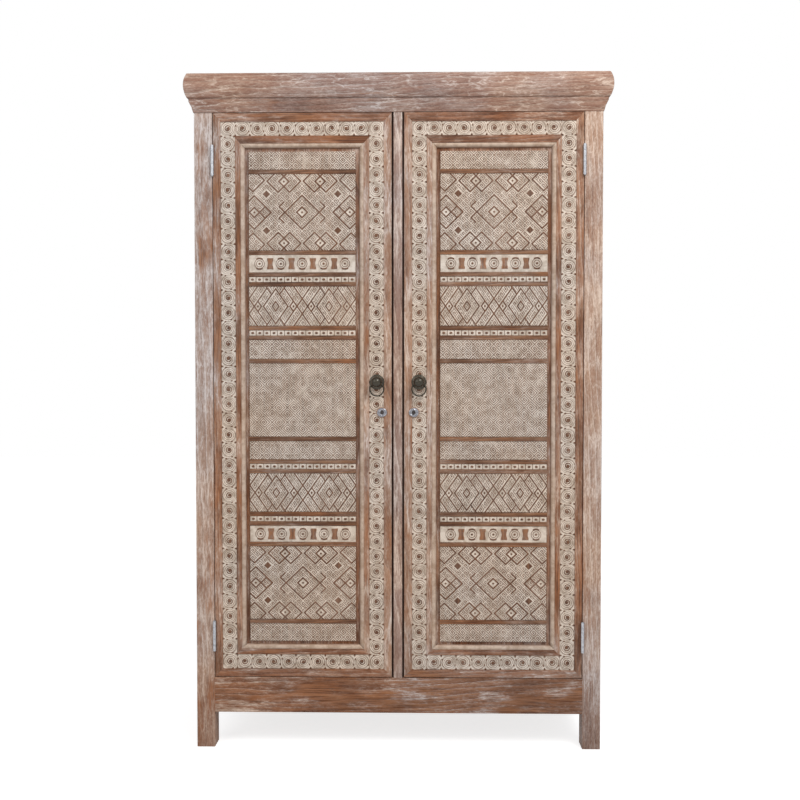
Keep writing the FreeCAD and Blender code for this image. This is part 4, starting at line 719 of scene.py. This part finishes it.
def fieldBlock(name, middle, half, low, high, bands):
    # Raised block and the plain bars left standing between the bands.
    face = carving["face"]
    sides = (middle - half, middle + half)
    solids = [(*sides, face + carving["blockTop"], face + carving["blockBack"], low, high)]
    for (_, _, under), (_, over, _) in zip(bands, bands[1:]):
        solids.append((*sides, face + carving["barTop"], face + carving["barFoot"], under, over))
    points, faces = [], []
    for solid in solids:
        faces += boxFaces(len(points))
        points += boxPoints(*solid)
    piece = linkMesh(name, np.array(points), faces, False)
    bevel = piece.modifiers.new("rubbedAndShaded", "BEVEL")
    bevel.width, bevel.segments = carving["rubbedAndShaded"], 2
    return piece


# Carved border

# upright and level count the spirals, and lag is how far each is turned on from the last, in turns.
# Lengths in the pattern are in millimetres. A wedge has its place across the band, its place along it from
# the seam between two spirals, and its size.
border = {
    "halfWidth": 20.0, "eye": 3.6, "turn": 4.7, "rim": 18.0, "fine": 0.68, "upright": 35, "level": 10,
    "broadTo": 9.5, "lag": 0.37,
    "wedges": ((7.5, 2.2, 2.2), (-7.5, -2.6, 2.2), (18.0, 0.0, 3.0), (-18.0, 0.0, 3.0)),
    "ridge": 0.3 * mm, "ground": 1.9 * mm, "sunk": 0.8 * mm, "step": 1.02 * mm, "columns": 40,
    "insets": {"hinge": 39.5 * mm, "meeting": 42 * mm, "bottom": 40.5 * mm, "top": 41 * mm},
}


def scrollField(along, across, pitch):
    # Round spirals: a line wherever the distance from the eye, in turns, equals the angle in turns.
    # The first turn is cut broadest. Small wedges stand between neighbours and at the edges.
    k = np.round(along / pitch)
    dx = along - k * pitch
    r = np.hypot(dx, across)
    angle = (np.arctan2(across, dx) / (2 * math.pi) + border["lag"] * k) % 1.0
    turns = (r - border["eye"]) / border["turn"] - angle
    off = np.abs(turns - np.round(turns)) * border["turn"]
    broad = np.clip((border["broadTo"] - r) / 3, 0, 1)
    line = ridge(off - broad * 0.9, 0.75, 0.9) * (border["fine"] + (1 - border["fine"]) * broad)
    line = np.where((r < border["rim"]) & (turns > -0.5), line, 0)
    rim = ridge(np.abs(r - border["rim"] - 0.5), 0.6, 0.9) * border["fine"]
    eye = ridge(r, border["eye"], 1.2)
    fromSeam = along - (np.floor(along / pitch) + 0.5) * pitch
    wedge = np.full(r.shape, 9.0)
    for place, shift, size in border["wedges"]:
        wedge = np.minimum(wedge, np.abs(fromSeam - shift) + 0.6 * np.abs(across - place) - size)
    return np.maximum(np.maximum(line, rim), np.maximum(eye, ridge(wedge, 0, 1.2)))


def borderStrip(name, start, end, fixed, upright, pitch, phase):
    # One straight run of the border between start and end, in metres, as a grid of about 1 mm, its depth
    # worked out as on the carved sheets.
    length = end - start
    rows, columns = int(length / border["step"]), border["columns"]
    x, z, faces = gridOf(columns, rows)
    across = x * 2 * border["halfWidth"] / columns
    along = (z / rows + 0.5) * length / mm - phase / mm
    stand = scrollField(along, across, pitch / mm)
    edge = (np.abs(across) >= border["halfWidth"] - 0.01)
    depth = border["ground"] - (border["ground"] - border["ridge"]) * stand
    depth = np.where(edge, border["ground"] + border["sunk"], depth)
    run = start + (z / rows + 0.5) * length
    side = fixed + across * mm
    if upright:
        points = np.stack([side, carving["face"] + depth, run], 1)
    else:
        points = np.stack([run, carving["face"] + depth, side], 1)
        faces = [face[::-1] for face in faces]
    piece = linkMesh(name, points, faces)
    attribute = piece.data.attributes.new("lime", "FLOAT", "POINT")
    attribute.data.foreach_set("value", (1 - stand).astype(np.float32))
    return piece


def carveDoor(word, sign):
    # Block, bars, plate, carved sheets and border of one door. sign is -1 for the left and 1 for the right.
    body = f"door_{word}"
    panel = f"door_{word}_panel"
    middle, half, low, high, bands = fieldPlaces(word)
    wood = limedWood("carving", "Z", (0.4 * sign, 1.3, 0.7), carved=True)
    bars = limedWood("bar", "X", (1.7, 0.4 * sign, 2.1))
    block = fieldBlock(f"field_{word}", middle, half, low, high, bands)
    finishPiece(block, body, bars, (panel,))
    near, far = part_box(panel)
    corners = boxPoints(near.x, far.x, carving["face"] + carving["plateTop"], far.y, near.z, far.z)
    plate = linkMesh(f"plate_{word}", np.array(corners), boxFaces(0), False)
    finishPiece(plate, body, limedWood("door", "Z", (0.8, 0.4 * sign, 1.6)), (panel,))
    for index, (kind, under, over) in enumerate(bands):
        sheet = carvedSheet(f"carved_{word}_{index + 1:02d}_{kind}", kind, middle,
                            half - carving["sideEdge"], under, over)
        finishPiece(sheet, body, wood)
    hinge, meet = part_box(f"door_{word}_hinge_stile"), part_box(f"door_{word}_meeting_stile")
    insets = border["insets"]
    hingeX = (hinge[0].x if sign < 0 else hinge[1].x) - sign * insets["hinge"]
    meetX = (meet[1].x if sign < 0 else meet[0].x) + sign * insets["meeting"]
    lowZ, highZ = hinge[0].z + insets["bottom"], hinge[1].z - insets["top"]
    halfBand = border["halfWidth"] * mm
    pitchUp = (highZ - lowZ) / border["upright"]
    pitchLevel = abs(hingeX - meetX) / border["level"]
    flatWood = limedWood("carving", "X", (1.4, 0.3 * sign, 0.9), carved=True)
    for label, x in (("hinge", hingeX), ("meeting", meetX)):
        strip = borderStrip(f"border_{word}_{label}", lowZ - halfBand, highZ + halfBand, x, True,
                            pitchUp, halfBand)
        finishPiece(strip, body, wood)
    left, right = min(hingeX, meetX), max(hingeX, meetX)
    for label, z in (("bottom", lowZ), ("top", highZ)):
        strip = borderStrip(f"border_{word}_{label}", left + halfBand, right - halfBand, z, False,
                            pitchLevel, -halfBand + pitchLevel)
        finishPiece(strip, body, flatWood)


# Profile in millimetres from the frame inwards, points along each strip, how deep it is worn, how far it
# lies behind the door's face, its wall, and where painted shade at its inner foot would be full and over
# what width it fades.
beadShape = {"width": 12.0, "crest": 3.6, "lip": 0.9, "deep": 9.9, "steps": 90, "worn": 0.00022,
             "behind": 0.00015, "wall": 1.2 * mm, "thin": (12.4, 3.4)}


def beadProfile(count):
    # Depth behind the door's face at each distance from the frame: a short rise to the crest,
    # then a quarter of an ellipse down to the plate.
    inward = np.concatenate([np.linspace(-0.6, beadShape["crest"], 6)[:-1],
                             beadShape["crest"] + (beadShape["width"] - beadShape["crest"]) * np.sin(
                                 np.linspace(0, math.pi / 2, count))])
    rise = np.clip((beadShape["crest"] - inward) / beadShape["crest"], 0, 1.3) ** 2 * beadShape["lip"]
    fall = np.clip((inward - beadShape["crest"]) / (beadShape["width"] - beadShape["crest"]), 0, 1)
    return inward, rise + beadShape["deep"] * (1 - np.sqrt(1 - fall ** 2))


def beadStrip(name, box, side):
    # One mitred length of bead: the profile carried along one side of the opening, slightly hand worn.
    low, high = box
    inward, depth = beadProfile(10)
    steps = beadShape["steps"]
    run = np.linspace(0, 1, steps)[:, None]
    inset = (inward * mm)[None, :]
    upright = side in ("low", "high")
    a0, a1 = (low.z, high.z) if upright else (low.x, high.x)
    along = (a0 + inset) * (1 - run) + (a1 - inset) * run
    start = low if side in ("low", "bottom") else high
    fixed = (start.x if upright else start.z) + (inset if side in ("low", "bottom") else -inset) + 0 * run
    worn = np.sin(along * 37 + fixed * 11) * np.exp(-((inward - beadShape["crest"]) / 4) ** 2)
    y = carving["face"] + (depth * mm)[None, :] + beadShape["behind"] + np.abs(worn) * beadShape["worn"]
    x, z = (fixed, along) if upright else (along, fixed)
    points = np.stack([x, y + 0 * x, z], 2).reshape(-1, 3)
    wide = len(inward)
    first = (np.arange(steps - 1)[:, None] * wide + np.arange(wide - 1)[None, :]).ravel()
    faces = np.stack([first, first + 1, first + wide + 1, first + wide], 1)
    if side in ("high", "bottom"):
        faces = faces[:, ::-1]
    piece = linkMesh(name, points, faces.tolist())
    # pale lime over the bead, turning to brown as painted shade down its inner foot by the plate
    rubbedAndShaded = np.clip((beadShape["thin"][0] - inward) / beadShape["thin"][1], 0.3, 1.0) * np.ones((steps, 1))
    piece.data.attributes.new("lime", "FLOAT", "POINT").data.foreach_set(
        "value", rubbedAndShaded.ravel().astype(np.float32))
    shell = piece.modifiers.new("back", "SOLIDIFY")
    shell.thickness, shell.offset = beadShape["wall"], -1
    return piece


for word, sign in (("left", -1), ("right", 1)):
    carveDoor(word, sign)
    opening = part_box(f"door_{word}_bead")
    for side in ("low", "high", "bottom", "top"):
        along = "Z" if side in ("low", "high") else "X"
        wood = limedWood("bead", along, (0.9 + len(side), 0.2 * sign, 1.1), carved=True)
        strip = beadStrip(f"bead_{word}_{side}", opening, side)
        finishPiece(strip, f"door_{word}", wood, (f"door_{word}_bead",))
print("doors carved")

# Lock collars

collar = {"radius": 8.8 * mm, "tube": 2.3 * mm, "rise": 1.5 * mm, "sunk": 0.3 * mm,
          "around": 48, "section": 16}


def roundCollar(name, node):
    # A ring with a half-round section round the keyhole: circle of the section carried round a circle.
    low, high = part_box(node)
    many, few = collar["around"], collar["section"]
    i, j = np.meshgrid(np.arange(many), np.arange(few), indexing="ij")
    around, across = i * 2 * math.pi / many, j * 2 * math.pi / few
    r = collar["radius"] + collar["tube"] * np.cos(across)
    x = (low.x + high.x) / 2 + r * np.cos(around)
    y = low.y - collar["rise"] * np.sin(across) + collar["sunk"]
    z = (low.z + high.z) / 2 + r * np.sin(around)
    onward, up = (i + 1) % many, (j + 1) % few
    faces = np.stack([i * few + j, i * few + up, onward * few + up, onward * few + j], 2).reshape(-1, 4)
    return linkMesh(name, np.stack([x, y, z], 2).reshape(-1, 3), faces.tolist())


for word in ("left", "right"):
    finishPiece(roundCollar(f"lock_collar_{word}", f"lock_{word}_case"), f"door_{word}",
                metals["lock_chrome"])
print("lock collars made")

# Camera, light and floor

viewpoint = {"lens": 47.5, "place": (0.063, -3.041, 1.02), "pitch": -1.68, "yaw": 1.17}
lens = bpy.data.cameras.new("camera")
lens.lens = viewpoint["lens"]
camera = bpy.data.objects.new("camera", lens)
camera.location = viewpoint["place"]
camera.rotation_euler = (math.radians(90 + viewpoint["pitch"]), 0, math.radians(viewpoint["yaw"]))
bpy.context.scene.collection.objects.link(camera)
bpy.context.scene.camera = camera

lamps = {
    "key": {"place": (1.6, -2.5, 3.5), "size": 1.8, "power": 84},
    "fill": {"place": (-2.4, -2.8, 2.6), "size": 2.4, "power": 30},
}
for name, lamp in lamps.items():
    light = bpy.data.lights.new(name, "AREA")
    light.energy, light.size = lamp["power"], lamp["size"]
    item = bpy.data.objects.new(name, light)
    item.location = lamp["place"]
    aim = np.array([0, 0, 0.9]) - np.array(lamp["place"])
    flat = math.hypot(aim[0], aim[1])
    item.rotation_euler = (math.atan2(flat, -aim[2]), 0, math.atan2(-aim[0], aim[1]))
    bpy.context.scene.collection.objects.link(item)


def seenWhite(tree):
    # 1 for rays that come from the camera or leave metal or glass, 0 for those that light the object.
    path = put(tree, "LightPath")
    rays = calc(tree, "MAXIMUM", path.outputs["Is Camera Ray"], path.outputs["Is Glossy Ray"])
    return calc(tree, "MAXIMUM", rays, path.outputs["Is Transmission Ray"])


world = bpy.data.worlds.new("world")
bpy.context.scene.world = world
world.use_nodes = True
tree = world.node_tree
tree.nodes.clear()
shown = put(tree, "Background", {"Color": (1, 1, 1, 1), "Strength": 1.0})
lit = put(tree, "Background", {"Color": (0.97, 0.98, 1, 1), "Strength": 0.42})
mixed = put(tree, "MixShader", {0: seenWhite(tree), 1: lit.outputs[0], 2: shown.outputs[0]})
put(tree, "OutputWorld", {"Surface": mixed.outputs[0]})

ground = {"half": 9.0, "gray": 0.62, "glow": 0.76}  # half the floor's side, and how pale it looks
corners = np.array([(-1, -1, 0), (1, -1, 0), (1, 1, 0), (-1, 1, 0)], float) * ground["half"]
floor = linkMesh("floor", corners, [[0, 1, 2, 3]], False)
floorPaint = bpy.data.materials.new("floorPaint")
floorPaint.use_nodes = True
tree = floorPaint.node_tree
tree.nodes.clear()
matt = put(tree, "BsdfDiffuse", {"Color": (ground["gray"], ground["gray"], ground["gray"], 1)})
glow = calc(tree, "MULTIPLY", seenWhite(tree), ground["glow"])
glow = put(tree, "Emission", {"Color": (1, 1, 1, 1), "Strength": glow})
both = put(tree, "AddShader", {0: matt.outputs[0], 1: glow.outputs[0]})
put(tree, "OutputMaterial", {"Surface": both.outputs[0]})
floor.data.materials.append(floorPaint)
bpy.context.scene.view_settings.view_transform = "Standard"
print("camera and light placed")
